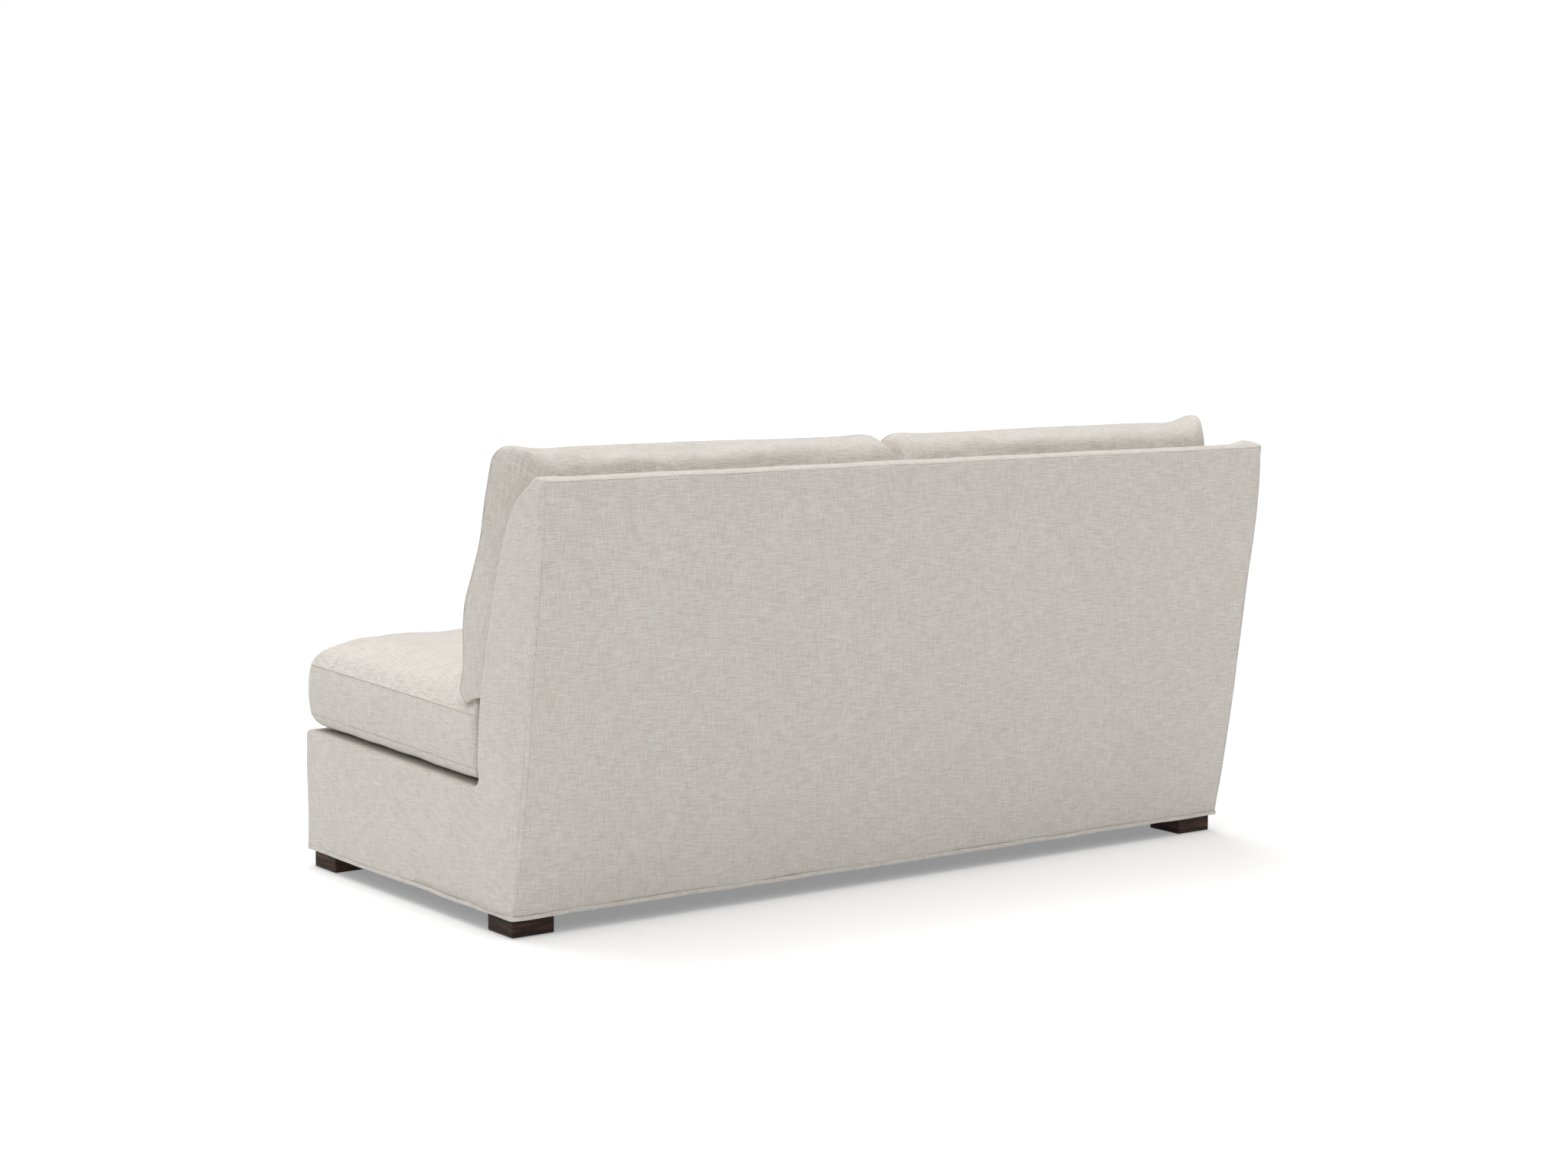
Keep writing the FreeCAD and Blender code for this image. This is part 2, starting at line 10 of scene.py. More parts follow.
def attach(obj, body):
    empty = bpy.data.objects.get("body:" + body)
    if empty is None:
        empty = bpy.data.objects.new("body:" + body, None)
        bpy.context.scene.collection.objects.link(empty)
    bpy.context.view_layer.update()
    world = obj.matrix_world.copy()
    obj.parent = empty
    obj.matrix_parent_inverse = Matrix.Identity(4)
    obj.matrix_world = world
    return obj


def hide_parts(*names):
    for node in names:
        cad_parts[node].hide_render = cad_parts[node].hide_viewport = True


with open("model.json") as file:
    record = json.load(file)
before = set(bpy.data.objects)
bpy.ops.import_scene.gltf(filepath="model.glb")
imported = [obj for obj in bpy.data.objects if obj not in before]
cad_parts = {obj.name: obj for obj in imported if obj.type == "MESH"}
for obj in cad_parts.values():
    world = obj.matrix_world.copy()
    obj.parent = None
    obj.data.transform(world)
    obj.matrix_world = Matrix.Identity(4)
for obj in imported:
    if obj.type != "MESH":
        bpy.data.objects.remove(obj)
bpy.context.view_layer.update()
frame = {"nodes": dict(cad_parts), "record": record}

scene = bpy.context.scene
scene.view_settings.view_transform = "Standard"
scene.view_settings.look = "None"

# Armless loveseat. Lengths below are millimetres in the frame of the part: the front faces -Y,
# left as seated is +X, the floor is z = 0. mesh_object() turns them into metres.
MM = 0.001

# ------------------------------------------------------------------ numbers shared with the construction
HALF_W = 850.0
COVER_X = 848.0
BODY_BOTTOM = 41.0
FOOT_H = 34.0
SLOPE = math.atan(0.03)
SEAT_SEAM_LOW, SEAT_SEAM_HIGH = 31.0, 129.0


def deck_z(y):
    return 270.0 - 0.03 * (y + 430.0)


# ------------------------------------------------------------------ small maths
def spline(pts, step):
    """Points about step apart on a smooth line through pts; a straight line where there are two."""
    p = np.array(pts, float)
    t = np.r_[0.0, np.cumsum(np.linalg.norm(np.diff(p, axis=0), axis=1))]
    s = np.linspace(0.0, t[-1], max(2, int(round(t[-1] / step))) + 1)
    n = len(t)
    if n == 2:
        return p[0] + (p[1] - p[0]) * (s / t[-1])[:, None]
    h = np.diff(t)
    a = np.zeros((n, n))
    r = np.zeros((n, p.shape[1]))
    a[0, 0] = a[-1, -1] = 1.0
    for i in range(1, n - 1):
        a[i, i - 1], a[i, i], a[i, i + 1] = h[i - 1], 2 * (h[i - 1] + h[i]), h[i]
        r[i] = 6 * ((p[i + 1] - p[i]) / h[i] - (p[i] - p[i - 1]) / h[i - 1])
    m = np.linalg.solve(a, r)
    k = np.clip(np.searchsorted(t, s, side="right") - 1, 0, n - 2)
    hk = h[k][:, None]
    b = ((s - t[k]) / h[k])[:, None]
    c = 1.0 - b
    return c * p[k] + b * p[k + 1] + ((c ** 3 - c) * m[k] + (b ** 3 - b) * m[k + 1]) * hk ** 2 / 6


def lengths(p):
    return np.r_[0.0, np.cumsum(np.linalg.norm(np.diff(p, axis=0), axis=1))]


def along(p, f):
    """The points at shares f of the length of a dense line p."""
    t = lengths(p)
    return np.stack([np.interp(np.asarray(f) * t[-1], t, p[:, i]) for i in range(p.shape[1])], -1)


def smoothstep(a, b, x):
    t = np.clip((np.asarray(x, float) - a) / (b - a), 0.0, 1.0)
    return t * t * (3 - 2 * t)


def unit(v):
    return v / np.maximum(np.linalg.norm(v, axis=-1, keepdims=True), 1e-9)


class Waves:
    """Smooth noise of place, about -1 to 1, as a sum of seeded waves with lengths from lo to hi."""

    def __init__(self, seed, lo, hi, count=28):
        g = np.random.default_rng(seed)
        d = unit(g.normal(size=(count, 3)))
        self.k = d * (2 * math.pi / np.exp(g.uniform(math.log(lo), math.log(hi), count)))[:, None]
        self.f = g.uniform(0, 2 * math.pi, count)
        self.a = 1.5 / math.sqrt(count)

    def __call__(self, p):
        return np.sin(np.asarray(p) @ self.k.T + self.f).sum(-1) * self.a


# ------------------------------------------------------------------ meshes
def mesh_object(name, verts, faces, uvs=None, smooth=True):
    """uvs holds one (u, v) per face corner, in millimetres; they become the map named weave, in metres."""
    me = bpy.data.meshes.new(name)
    me.from_pydata((np.asarray(verts, float) * MM).tolist(), [], [tuple(int(i) for i in f) for f in faces])
    if uvs is not None:
        layer = me.uv_layers.new(name="weave")
        layer.data.foreach_set("uv", (np.asarray(uvs, float).reshape(-1, 2) * MM).astype(np.float32).ravel())
    me.polygons.foreach_set("use_smooth", np.full(len(me.polygons), smooth))
    me.validate()
    me.update()
    ob = bpy.data.objects.new(name, me)
    scene.collection.objects.link(ob)
    return ob


def grid_faces(rows, cols, base=0, flip=False, closed=False):
    r = np.arange(rows - 1)[:, None]
    c = np.arange(cols if closed else cols - 1)[None, :]
    d = (c + 1) % cols
    q = np.stack([r * cols + c, r * cols + d, (r + 1) * cols + d, (r + 1) * cols + c], -1).reshape(-1, 4) + base
    return q[:, ::-1] if flip else q


def final_mesh(ob):
    """The mesh with its modifiers applied, and none left on the object."""
    dg = bpy.context.evaluated_depsgraph_get()
    me = bpy.data.meshes.new_from_object(ob.evaluated_get(dg), preserve_all_data_layers=True, depsgraph=dg)
    old = ob.data
    ob.modifiers.clear()
    ob.data = me
    me.name = ob.name
    bpy.data.meshes.remove(old)
    return ob


def coords(me):
    co = np.zeros(len(me.vertices) * 3, np.float32)
    me.vertices.foreach_get("co", co)
    return co.reshape(-1, 3).astype(float)


def normals(me):
    n = np.zeros(len(me.vertices) * 3, np.float32)
    me.vertex_normals.foreach_get("vector", n)
    return n.reshape(-1, 3).astype(float)


def set_coords(me, co):
    me.vertices.foreach_set("co", np.asarray(co, np.float32).ravel())
    me.update()


def sweep(name, path, section, closed=True, up=None, uv_u=0.0):
    """A tube along path with a closed section of (across, up) offsets. up is one direction or one per point."""
    p = np.asarray(path, float)
    n, m = len(p), len(section)
    t = unit(np.roll(p, -1, 0) - np.roll(p, 1, 0)) if closed else unit(np.gradient(p, axis=0))
    u = np.broadcast_to(np.asarray(up, float), p.shape)
    side = unit(np.cross(t, u))
    u = np.cross(side, t)
    sec = np.asarray(section, float)
    v = p[:, None] + side[:, None] * sec[None, :, :1] + u[:, None] * sec[None, :, 1:2]
    faces = []
    for i in range(n if closed else n - 1):
        a, b = i * m, ((i + 1) % n) * m
        for j in range(m):
            k = (j + 1) % m
            faces.append((a + j, a + k, b + k, b + j))
    if not closed:
        faces.append(tuple(range(m))[::-1])
        faces.append(tuple((n - 1) * m + j for j in range(m)))
    lu = np.r_[lengths(p), lengths(np.vstack([p, p[:1]]))[-1]] + uv_u
    lv = np.r_[lengths(sec), lengths(np.vstack([sec, sec[:1]]))[-1]]
    uvs = []
    for i in range(n if closed else n - 1):
        for j in range(m):
            uvs += [(lu[i], lv[j]), (lu[i], lv[j + 1]), (lu[i + 1], lv[j + 1]), (lu[i + 1], lv[j])]
    if not closed:
        uvs += [(lu[0] + a, b) for a, b in sec[::-1]] + [(lu[n - 1] + a, b) for a, b in sec]
    return mesh_object(name, v.reshape(-1, 3), faces, uvs)


# ------------------------------------------------------------------ outline of the upholstered body, (y, z)
FRONT = [(-447.0, 41.0), (-447.0, 256.0)]
FRONT_ROUND = [(-447.0, 256.0), (-445.6, 263.6), (-441.4, 268.9), (-432.0, 270.6)]
DECK = [(-432.0, 270.6), (190.0, 251.4)]
INSIDE = [
    (190.0, 251.4), (203.0, 254.5), (214.0, 264.0), (220.5, 277.0), (223.0, 290.0), (227.0, 330.0), (232.0, 373.0),
    (239.5, 422.0), (250.0, 464.0), (263.0, 509.0), (277.5, 555.0), (294.5, 611.0), (306.5, 647.0), (320.0, 684.0),
    (335.0, 719.0), (351.0, 748.0), (366.0, 769.0), (384.0, 787.0), (404.0, 802.0), (415.0, 809.0), (424.0, 811.9),
]
TOP = [(424.0, 811.9), (430.0, 812.2), (437.0, 810.4), (442.6, 807.6), (445.8, 804.2), (447.0, 799.5), (447.0, 795.0), (446.8, 790.0)]
REAR = [
    (446.8, 790.0), (444.4, 742.0), (439.7, 690.0), (432.2, 635.0), (422.4, 573.0), (406.0, 470.0), (386.4, 323.0),
    (367.2, 206.0), (348.0, 107.0), (337.6, 62.0), (333.6, 41.0),
]
pieces_of_line = [spline(s, 0.5) for s in (FRONT, FRONT_ROUND, DECK, INSIDE, TOP, REAR)]
line = np.vstack([pieces_of_line[0]] + [p[1:] for p in pieces_of_line[1:]])
line_s = lengths(line)
S_FRONT, S_DECK, S_INSIDE, S_TOP, S_REAR, S_END = (
    line_s[sum(len(p) - 1 for p in pieces_of_line[: i + 1])] for i in range(6))
tangent = unit(np.gradient(line, axis=0))
kernel = np.hanning(9)
kernel /= kernel.sum()
padded_t = np.vstack([np.repeat(tangent[:1], 4, 0), tangent, np.repeat(tangent[-1:], 4, 0)])
tangent = unit(np.stack([np.convolve(padded_t[:, i], kernel, "valid") for i in range(2)], -1))
outward = np.stack([-tangent[:, 1], tangent[:, 0]], -1)

# how the ends are rounded over, and where the seam beside the end panels runs
R_KNOTS = [(0, 5), (S_FRONT - 30, 5), (S_FRONT, 5.0), (S_DECK, 6.0), (S_DECK + 70, 12), (S_INSIDE - 20, 12), (S_INSIDE + 60, 11),
           (S_TOP - 90, 10), (S_TOP - 24, 7), (S_TOP + 4, 5.0), (S_REAR - 6, 4.6), (S_REAR + 45, 4.6), (S_END, 5.0)]
X_KNOTS = [(0, 833), (S_FRONT, 833), (S_DECK, 833), (S_DECK + 60, 795), (S_INSIDE - 20, 790), (S_INSIDE + 60, 796),
           (S_TOP - 120, 800), (S_TOP - 40, 820), (S_TOP, 842.4), (S_END, 842.4)]
# depth of that seam: well marked where it shows, faint where cushions lie against it
DIP_KNOTS = [(0, 0.6), (S_FRONT, 0.6), (S_DECK + 40, 0.4), (S_TOP - 20, 0.3), (S_TOP + 10, -0.35), (S_END, -0.35)]


def P(s):
    return np.stack([np.interp(s, line_s, line[:, 0]), np.interp(s, line_s, line[:, 1])], -1)


def N(s):
    return unit(np.stack([np.interp(s, line_s, outward[:, 0]), np.interp(s, line_s, outward[:, 1])], -1))


def R(s):
    return np.interp(s, *np.array(R_KNOTS, float).T)


def XS(s):
    return np.interp(s, *np.array(X_KNOTS, float).T)


def DIP(s):
    return np.interp(s, *np.array(DIP_KNOTS, float).T)


def s_at(seg_start, seg_end, axis, value):
    """Arc length where the outline, between two arc lengths, comes nearest to a y (axis 0) or z (axis 1)."""
    m = (line_s >= seg_start) & (line_s <= seg_end)
    return line_s[m][np.argmin(abs(line[m, axis] - value))]


S_LIP = s_at(S_DECK, S_INSIDE, 0, -370.0)       # front cover meets the deck cover, under the cushions
S_SEAM = s_at(S_TOP, S_REAR, 1, 803.8)          # seam below the top edge of the back

body_wave = Waves(11, 130, 420)
body_fine = Waves(12, 34, 80)


def settle(v):
    """Small unevenness of the whole body: ends that stand proud of the inside back, fuller upper corners, and the tips
    of the two upper rear corners."""
    v = np.array(v, float)
    line = np.array(INSIDE)
    deep = v[:, 1] - np.interp(v[:, 2], line[:, 1], line[:, 0])
    proud = smoothstep(806, 838, np.abs(v[:, 0])) * smoothstep(-30, -14, deep) * (1 - smoothstep(8, 80, deep))
    v[:, 1] -= 14.0 * proud * smoothstep(256, 300, v[:, 2]) * (1 - smoothstep(755, 806, v[:, 2]))
    x, y, z = v.T
    high = smoothstep(770, 806, z)
    for side, rise, tip in ((1, 2.0, 1.5), (-1, 8.0, 2.6)):
        bell = np.exp(-((x * side - 818) / 26.0) ** 2)
        v[:, 2] += rise * bell * high * smoothstep(372, 400, y) * (1 - smoothstep(424, 441, y))
        near = np.exp(-(((x * side - 843) / 8.0) ** 2 + ((y - 444) / 8.0) ** 2 + ((z - 808) / 8.0) ** 2))
        v += near[:, None] * np.array([0.7 * side, 0.4, 1.0]) * tip
    return v


def edge_steps(total, fine, step):
    """Distances from 0 to total: the fine list at each end, about step apart between."""
    fine = np.array(fine, float)
    mid = np.linspace(fine[-1], total - fine[-1], max(2, int(round((total - 2 * fine[-1]) / step)) + 1))
    return np.r_[fine[:-1], mid, (total - fine[:-1])[::-1]]


def seam_dip(e, depth=1.0, width=0.9):
    return depth * np.exp(-(np.asarray(e) / width) ** 1.5)


def allowance(e):
    """The cloth folded under between a seam and its topstitching lifts the panel."""
    return 0.75 * (smoothstep(0.2, 1.6, e) - smoothstep(5.9, 7.0, e))


EDGE = [0.0, 0.6, 1.3, 2.2, 3.6, 5.2, 6.2, 7.0, 7.8, 8.8, 11.0, 15.0, 21.0, 29.0]


def solid_sheet(ob, thickness=2.2):
    m = ob.modifiers.new("thickness", "SOLIDIFY")
    m.thickness = thickness * MM
    m.offset = -1.0
    m.use_even_offset = False
    return final_mesh(ob)


def strip_panel(name, sa, sb, step_s, step_x, dips=(True, True), topstitch=0.0, fullness=0.0, uv0=(0.0, 0.0), wave=0.6):
    """A cover panel that follows the outline from arc length sa to sb, between the seams beside the two end panels."""
    s = sa + edge_steps(sb - sa, [0.0, 0.6, 1.3, 2.2, 4.0, 7.0, 12.0], step_s)
    e = edge_steps(2 * 820.0, EDGE, step_x)
    xs = XS(s)
    half = e.max() / 2
    # distances at both ends are kept, and the middle is stretched to fit
    left = np.minimum(e, e.max() - e)
    w = np.clip((half - left) / (half - EDGE[-1]), 0, 1)
    x = np.sign(e - half)[None, :] * np.where(left[None, :] <= EDGE[-1] + 1e-6, xs[:, None] - left[None, :],
                                             (xs[:, None] - EDGE[-1]) * (1 - (left[None, :] - EDGE[-1]) / (half - EDGE[-1])))
    dip = seam_dip(left)[None, :] * DIP(s)[:, None]
    ds = s - sa
    if dips[0]:
        dip = np.maximum(dip, seam_dip(ds)[:, None])
    if dips[1]:
        dip = np.maximum(dip, seam_dip(sb - s)[:, None])
    if topstitch:
        dip = dip + (topstitch * np.exp(-((left - 7.0) / 0.8) ** 2) - allowance(left))[None, :]
    p, n = P(s), N(s)
    base = np.stack([x, np.broadcast_to(p[:, :1], x.shape), np.broadcast_to(p[:, 1:], x.shape)], -1)
    nn = np.stack([np.zeros_like(x), np.broadcast_to(n[:, :1], x.shape), np.broadcast_to(n[:, 1:], x.shape)], -1)
    full = fullness * (1 - np.exp(-(left / 60.0) ** 2))[None, :] * (
        1 - np.exp(-(np.minimum(ds, sb - s) / 60.0) ** 2))[:, None]
    soft = 1 - np.exp(-(left / 25.0) ** 2)[None, :]
    out = full - dip + soft * (wave * body_wave(base.reshape(-1, 3)).reshape(x.shape))
    pucker = 0.28 * np.exp(-left / 7.0)[None, :] * body_fine(base.reshape(-1, 3)).reshape(x.shape)
    v = (base + nn * (out + pucker)[..., None]).reshape(-1, 3)
    rows, cols = x.shape
    f = grid_faces(rows, cols)
    uv = np.stack([x + uv0[0], np.broadcast_to(s[:, None], x.shape) + uv0[1]], -1).reshape(-1, 2)
    ob = mesh_object(name, settle(v), f, uv[f.ravel()])
    return solid_sheet(ob)


def weave_side(y, z):
    """Threads of the end panels: level at the base, rising to the rear on the wing above."""
    m = 0.27 * smoothstep(280, 480, z)
    zz = np.linspace(0, 860, 431)
    mm = 0.27 * smoothstep(280, 480, zz)
    run = np.r_[0.0, np.cumsum((mm[1:] + mm[:-1]) / 2 * np.diff(zz))]
    return np.stack([y + np.interp(z, zz, run), z - m * (y - 300.0)], -1)


def end_panel(name, side):
    """The L-shaped end cover: its face, the rounded edges and the margin that turns the corner to the seam."""
    steps = [(0, S_FRONT, 9.0), (S_FRONT, S_DECK, 1.7), (S_DECK, S_DECK + 60, 5.0), (S_DECK + 60, S_INSIDE, 9.0),
             (S_INSIDE, S_INSIDE + 60, 3.0), (S_INSIDE + 60, S_TOP - 60, 7.0), (S_TOP - 60, S_TOP, 3.0), (S_TOP, S_REAR, 1.2),
             (S_REAR, S_REAR + 50, 3.5), (S_REAR + 50, S_END, 8.0)]
    s = np.concatenate([np.linspace(a, b, int(round((b - a) / d)) + 1)[:-1] for a, b, d in steps] + [[S_END]])
    p, n, r, xs = P(s), N(s), R(s), XS(s)
    m = COVER_X - r - xs
    rows = []
    for f, extra in ((0.0, 0.0), (0.0, 0.6), (0.0, 1.3), (0.0, 2.2)):
        e = np.minimum(extra, m * 0.98)
        rows.append((xs + e, seam_dip(e) * DIP(s), e))
    rows.append((xs + m, np.zeros_like(s), m))
    for k in range(1, 8):
        a = math.radians(90.0 * k / 7)
        rows.append((COVER_X - r + r * math.sin(a), r * (1 - math.cos(a)), m + r * a))
    verts, unrolled = [], []
    inner = p - n * r[:, None]
    for x, d, length in rows:
        q = p - n * d[:, None]
        verts.append(np.stack([x, q[:, 0], q[:, 1]], -1))
        unrolled.append(inner + n * (m + r * math.pi / 2 - length)[:, None])
    nr, ns = len(rows), len(s)
    ring = np.vstack(verts)
    uvp = np.vstack(unrolled)
    faces = [tuple(q) for q in grid_faces(nr, ns, flip=True)]
    # the flat face inside the last ring
    last = (nr - 1) * ns
    edge = verts[-1][:, 1:]
    foot = np.linspace(edge[-1], edge[0], int((edge[-1, 0] - edge[0, 0]) / 10.0))[1:-1]
    border = np.vstack([edge, foot])
    gy, gz = np.meshgrid(np.arange(-440, 446, 10.0), np.arange(46, 812, 10.0), indexing="ij")
    cand = np.stack([gy.ravel(), gz.ravel()], -1)
    poly = border
    a, b = poly, np.roll(poly, -1, 0)
    inside = np.zeros(len(cand), bool)
    dist = np.full(len(cand), 1e9)
    for (ay, az), (by, bz) in zip(a, b):
        hit = (az > cand[:, 1]) != (bz > cand[:, 1])
        cross = ay + (cand[:, 1] - az) / np.where(abs(bz - az) < 1e-9, 1e-9, bz - az) * (by - ay)
        inside ^= hit & (cand[:, 0] < cross)
        ab = np.array([by - ay, bz - az])
        t = np.clip(((cand - (ay, az)) @ ab) / max(ab @ ab, 1e-9), 0, 1)
        dist = np.minimum(dist, np.linalg.norm(cand - ((ay, az) + t[:, None] * ab), axis=1))
    keep = inside & (dist > 4.5)
    pts = np.vstack([border, cand[keep]])
    nb = len(border)
    loop = [(i, (i + 1) % nb) for i in range(nb)]
    out = delaunay_2d_cdt([Vector(q) for q in pts], loop, [list(range(nb))], 1, 1e-4)
    tri, back = out[2], out[3]
    face_id = [last + i for i in range(ns)] + [nr * ns + i for i in range(len(pts) - ns)]
    # fullness of the face, from its distance to the rounded edges
    every = np.vstack([border, cand[keep]])
    far = np.full(len(every), 1e9)
    for (ay, az), (by, bz) in zip(edge[:-1], edge[1:]):
        ab = np.array([by - ay, bz - az])
        t = np.clip(((every - (ay, az)) @ ab) / max(ab @ ab, 1e-9), 0, 1)
        far = np.minimum(far, np.linalg.norm(every - ((ay, az) + t[:, None] * ab), axis=1))
    rise = 2.6 * (1 - np.exp(-(far / 55.0) ** 2)) * smoothstep(30, 110, every[:, 1])
    extra = np.stack([COVER_X + rise[ns:], every[ns:, 0], every[ns:, 1]], -1)
    v = np.vstack([ring, extra])
    uvp = np.vstack([uvp, every[ns:]])
    for f in tri:
        ids = [face_id[back[i][0]] for i in f]
        q = every[[back[i][0] for i in f]]
        area = (q[1, 0] - q[0, 0]) * (q[2, 1] - q[0, 1]) - (q[2, 0] - q[0, 0]) * (q[1, 1] - q[0, 1])
        if abs(area) < 1e-7:
            continue
        faces.append(tuple(ids if area > 0 else ids[::-1]))
    # faces of the ring look outwards as wound; the face looks towards +X
    v[:, 0] += 0.7 * body_wave(v) * smoothstep(836, 848, v[:, 0])
    uv = weave_side(uvp[:, 0], uvp[:, 1])
    if side < 0:
        v[:, 0] *= -1
        faces = [f[::-1] for f in faces]
        uv = uv + (1700.0, 400.0)
    uvs = np.concatenate([uv[list(f)] for f in faces])
    ob = mesh_object(name, settle(v), faces, uvs)
    return solid_sheet(ob)


body = {
    "front_panel": strip_panel("front_panel", 0.0, S_LIP, 10.0, 12.0, (False, True), 0.45, 2.0, (0, 7000.0)),
    "deck_panel": strip_panel("deck_panel", S_LIP, S_INSIDE, 16.0, 20.0, (True, True), 0.0, 0.0, (0, 8000.0)),
    "inside_back_panel": strip_panel("inside_back_panel", S_INSIDE, S_SEAM, 8.0, 14.0, (True, True), 0.0, 0.0, (0, 9000.0), 0.4),
    "outside_back_panel": strip_panel("outside_back_panel", S_SEAM, S_END, 9.0, 12.0, (True, False), 0.0, 2.2, (0, 5000.0)),
    "end_panel_left": end_panel("end_panel_left", 1),
    "end_panel_right": end_panel("end_panel_right", -1),
}
stands_for = {
    "front_panel": "front_cover", "deck_panel": "deck_cover", "inside_back_panel": "inside_back_cover",
    "outside_back_panel": "outside_back_cover", "end_panel_left": "end_cover_left", "end_panel_right": "end_cover_right",
}

# ------------------------------------------------------------------ hem and stitching
def rounded_plan(x0, x1, y0, y1, r, step=9.0, arc=2.0):
    """Closed plan outline, anticlockwise from above, r is one radius per corner: front right, front left, rear left, rear right."""
    pts = []
    corners = [(x1, y0, -90), (x1, y1, 0), (x0, y1, 90), (x0, y0, 180)]
    order = [r[1], r[2], r[3], r[0]]
    for (cx, cy, a0), rr in zip(corners, order):
        ox = cx - rr if cx == x1 else cx + rr
        oy = cy - rr if cy == y1 else cy + rr
        k = max(3, int(round(rr * math.pi / 2 / arc)))
        for i in range(k + 1):
            a = math.radians(a0 + 90 * i / k)
            pts.append((ox + rr * math.cos(a), oy + rr * math.sin(a)))
    out = []
    for i in range(len(pts)):
        a, b = np.array(pts[i]), np.array(pts[(i + 1) % len(pts)])
        k = max(1, int(round(np.linalg.norm(b - a) / step)))
        out += [a + (b - a) * j / k for j in range(k)]
    return np.array(out)


hem_wave = Waves(21, 60, 260)
plan = rounded_plan(-847.4, 847.4, -444.2, 334.2, (6, 6, 6, 6), arc=1.5)
hem_path = np.column_stack([plan, np.full(len(plan), 38.0)])
hem_path[:, 2] += 0.45 * hem_wave(hem_path)
# across is outwards
hem = sweep("hem_band", hem_path, [(-5.0, -4.0), (0.6, -4.0), (1.9, -3.6), (2.7, -2.4), (2.9, -0.6), (2.7, 1.2), (2.2, 2.6),
                                   (1.5, 3.6), (0.9, 3.9), (0.2, 3.6), (-5.0, 3.2)], True, (0, 0, 1), 900.0)
body["hem_band"] = hem
stands_for["hem_band"] = "hem_welt"


def stitches(name, runs, length=3.7, pitch=4.7, radius=0.42):
    """Rows of stitches along the given lines; each run is (points, outward directions)."""
    verts, faces, uvs = [], [], []
    prof = [(-0.5, 0.0), (-0.36, 0.85), (0.0, 1.0), (0.36, 0.85), (0.5, 0.0)]
    for pts, outs in runs:
        pts, outs = np.asarray(pts, float), np.asarray(outs, float)
        t = lengths(pts)
        for c in np.arange(pitch, t[-1] - pitch, pitch):
            mid = np.array([np.interp(c, t, pts[:, i]) for i in range(3)])
            a = np.array([np.interp(c - 1, t, pts[:, i]) for i in range(3)])
            b = np.array([np.interp(c + 1, t, pts[:, i]) for i in range(3)])
            o = unit(np.array([np.interp(c, t, outs[:, i]) for i in range(3)]))
            d = unit(b - a)
            w = np.cross(d, o)
            base = len(verts)
            for f, r in prof[1:-1]:
                for k in range(6):
                    g = 2 * math.pi * k / 6
                    verts.append(mid + d * f * length + (o * math.cos(g) + w * math.sin(g)) * r * radius)
            verts.append(mid - d * 0.5 * length - o * 0.3)
            verts.append(mid + d * 0.5 * length - o * 0.3)
            for i in range(2):
                for k in range(6):
                    j = (k + 1) % 6
                    faces.append((base + i * 6 + k, base + i * 6 + j, base + i * 6 + 6 + j, base + i * 6 + 6 + k))
            for k in range(6):
                j = (k + 1) % 6
                faces.append((base + 18, base + j, base + k))
                faces.append((base + 19, base + 12 + k, base + 12 + j))
    v = np.array(verts)
    uv = np.stack([v[:, 0] + v[:, 1], v[:, 2]], -1)
    return mesh_object(name, v, faces, np.concatenate([uv[list(f)] for f in faces]))


runs = []
s = np.linspace(S_SEAM + 6, S_END - 9, 200)
for side in (1, -1):
    p, n = P(s), N(s)
    pts = np.stack([np.full(len(s), side * (COVER_X + 0.05)), *(p - n * 8.6).T], -1)
    runs.append((pts, np.stack([np.full(len(s), float(side)), 0 * s, 0 * s], -1)))
s = np.linspace(14, S_FRONT, 60)
for side in (1, -1):
    p, n = P(s), N(s)
    pts = np.stack([side * (XS(s) - 7.0), *(p + n * -0.3).T], -1)
    runs.append((pts, np.stack([0 * s, *n.T], -1)))
thread = stitches("topstitching", runs)
body["topstitching"] = thread

for name, ob in body.items():
    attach(ob, "frame")
    if name in stands_for:
        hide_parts(stands_for[name])


# ------------------------------------------------------------------ box cushions
def corner_map(x, y, w, h, r):
    """Moves the nodes of a rectangular grid so that its corners are rounded. r: radii at (x0,y0), (x1,y0), (x1,y1), (x0,y1)."""
    x, y = x.copy(), y.copy()
    for (sx, sy), rr in zip(((0, 0), (1, 0), (1, 1), (0, 1)), r):
        p = (rr - (x if sx == 0 else w - x)) / rr
        q = (rr - (y if sy == 0 else h - y)) / rr
        m = (p > 0) & (q > 0)
        pm, qm = p[m], q[m]
        nx = rr - rr * pm * np.sqrt(1 - qm ** 2 / 2)
        ny = rr - rr * qm * np.sqrt(1 - pm ** 2 / 2)
        x[m] = nx if sx == 0 else w - nx
        y[m] = ny if sy == 0 else h - ny
    return x, y


def grid_lines(total, r, step):
    fine = [0.0, 4.0, 9.0, 16.0, 25.0, max(r, 30.0)]
    mid = np.linspace(fine[-1], total - fine[-1], int(round((total - 2 * fine[-1]) / step)) + 1)
    return np.r_[fine[:-1], mid, (total - np.array(fine[:-1]))[::-1]]


def loop_of(nx, ny):
    """Grid indices (i, j) round the border, anticlockwise."""
    return ([(i, 0) for i in range(nx - 1)] + [(nx - 1, j) for j in range(ny - 1)] +
            [(i, ny - 1) for i in range(nx - 1, 0, -1)] + [(0, j) for j in range(ny - 1, 0, -1)])


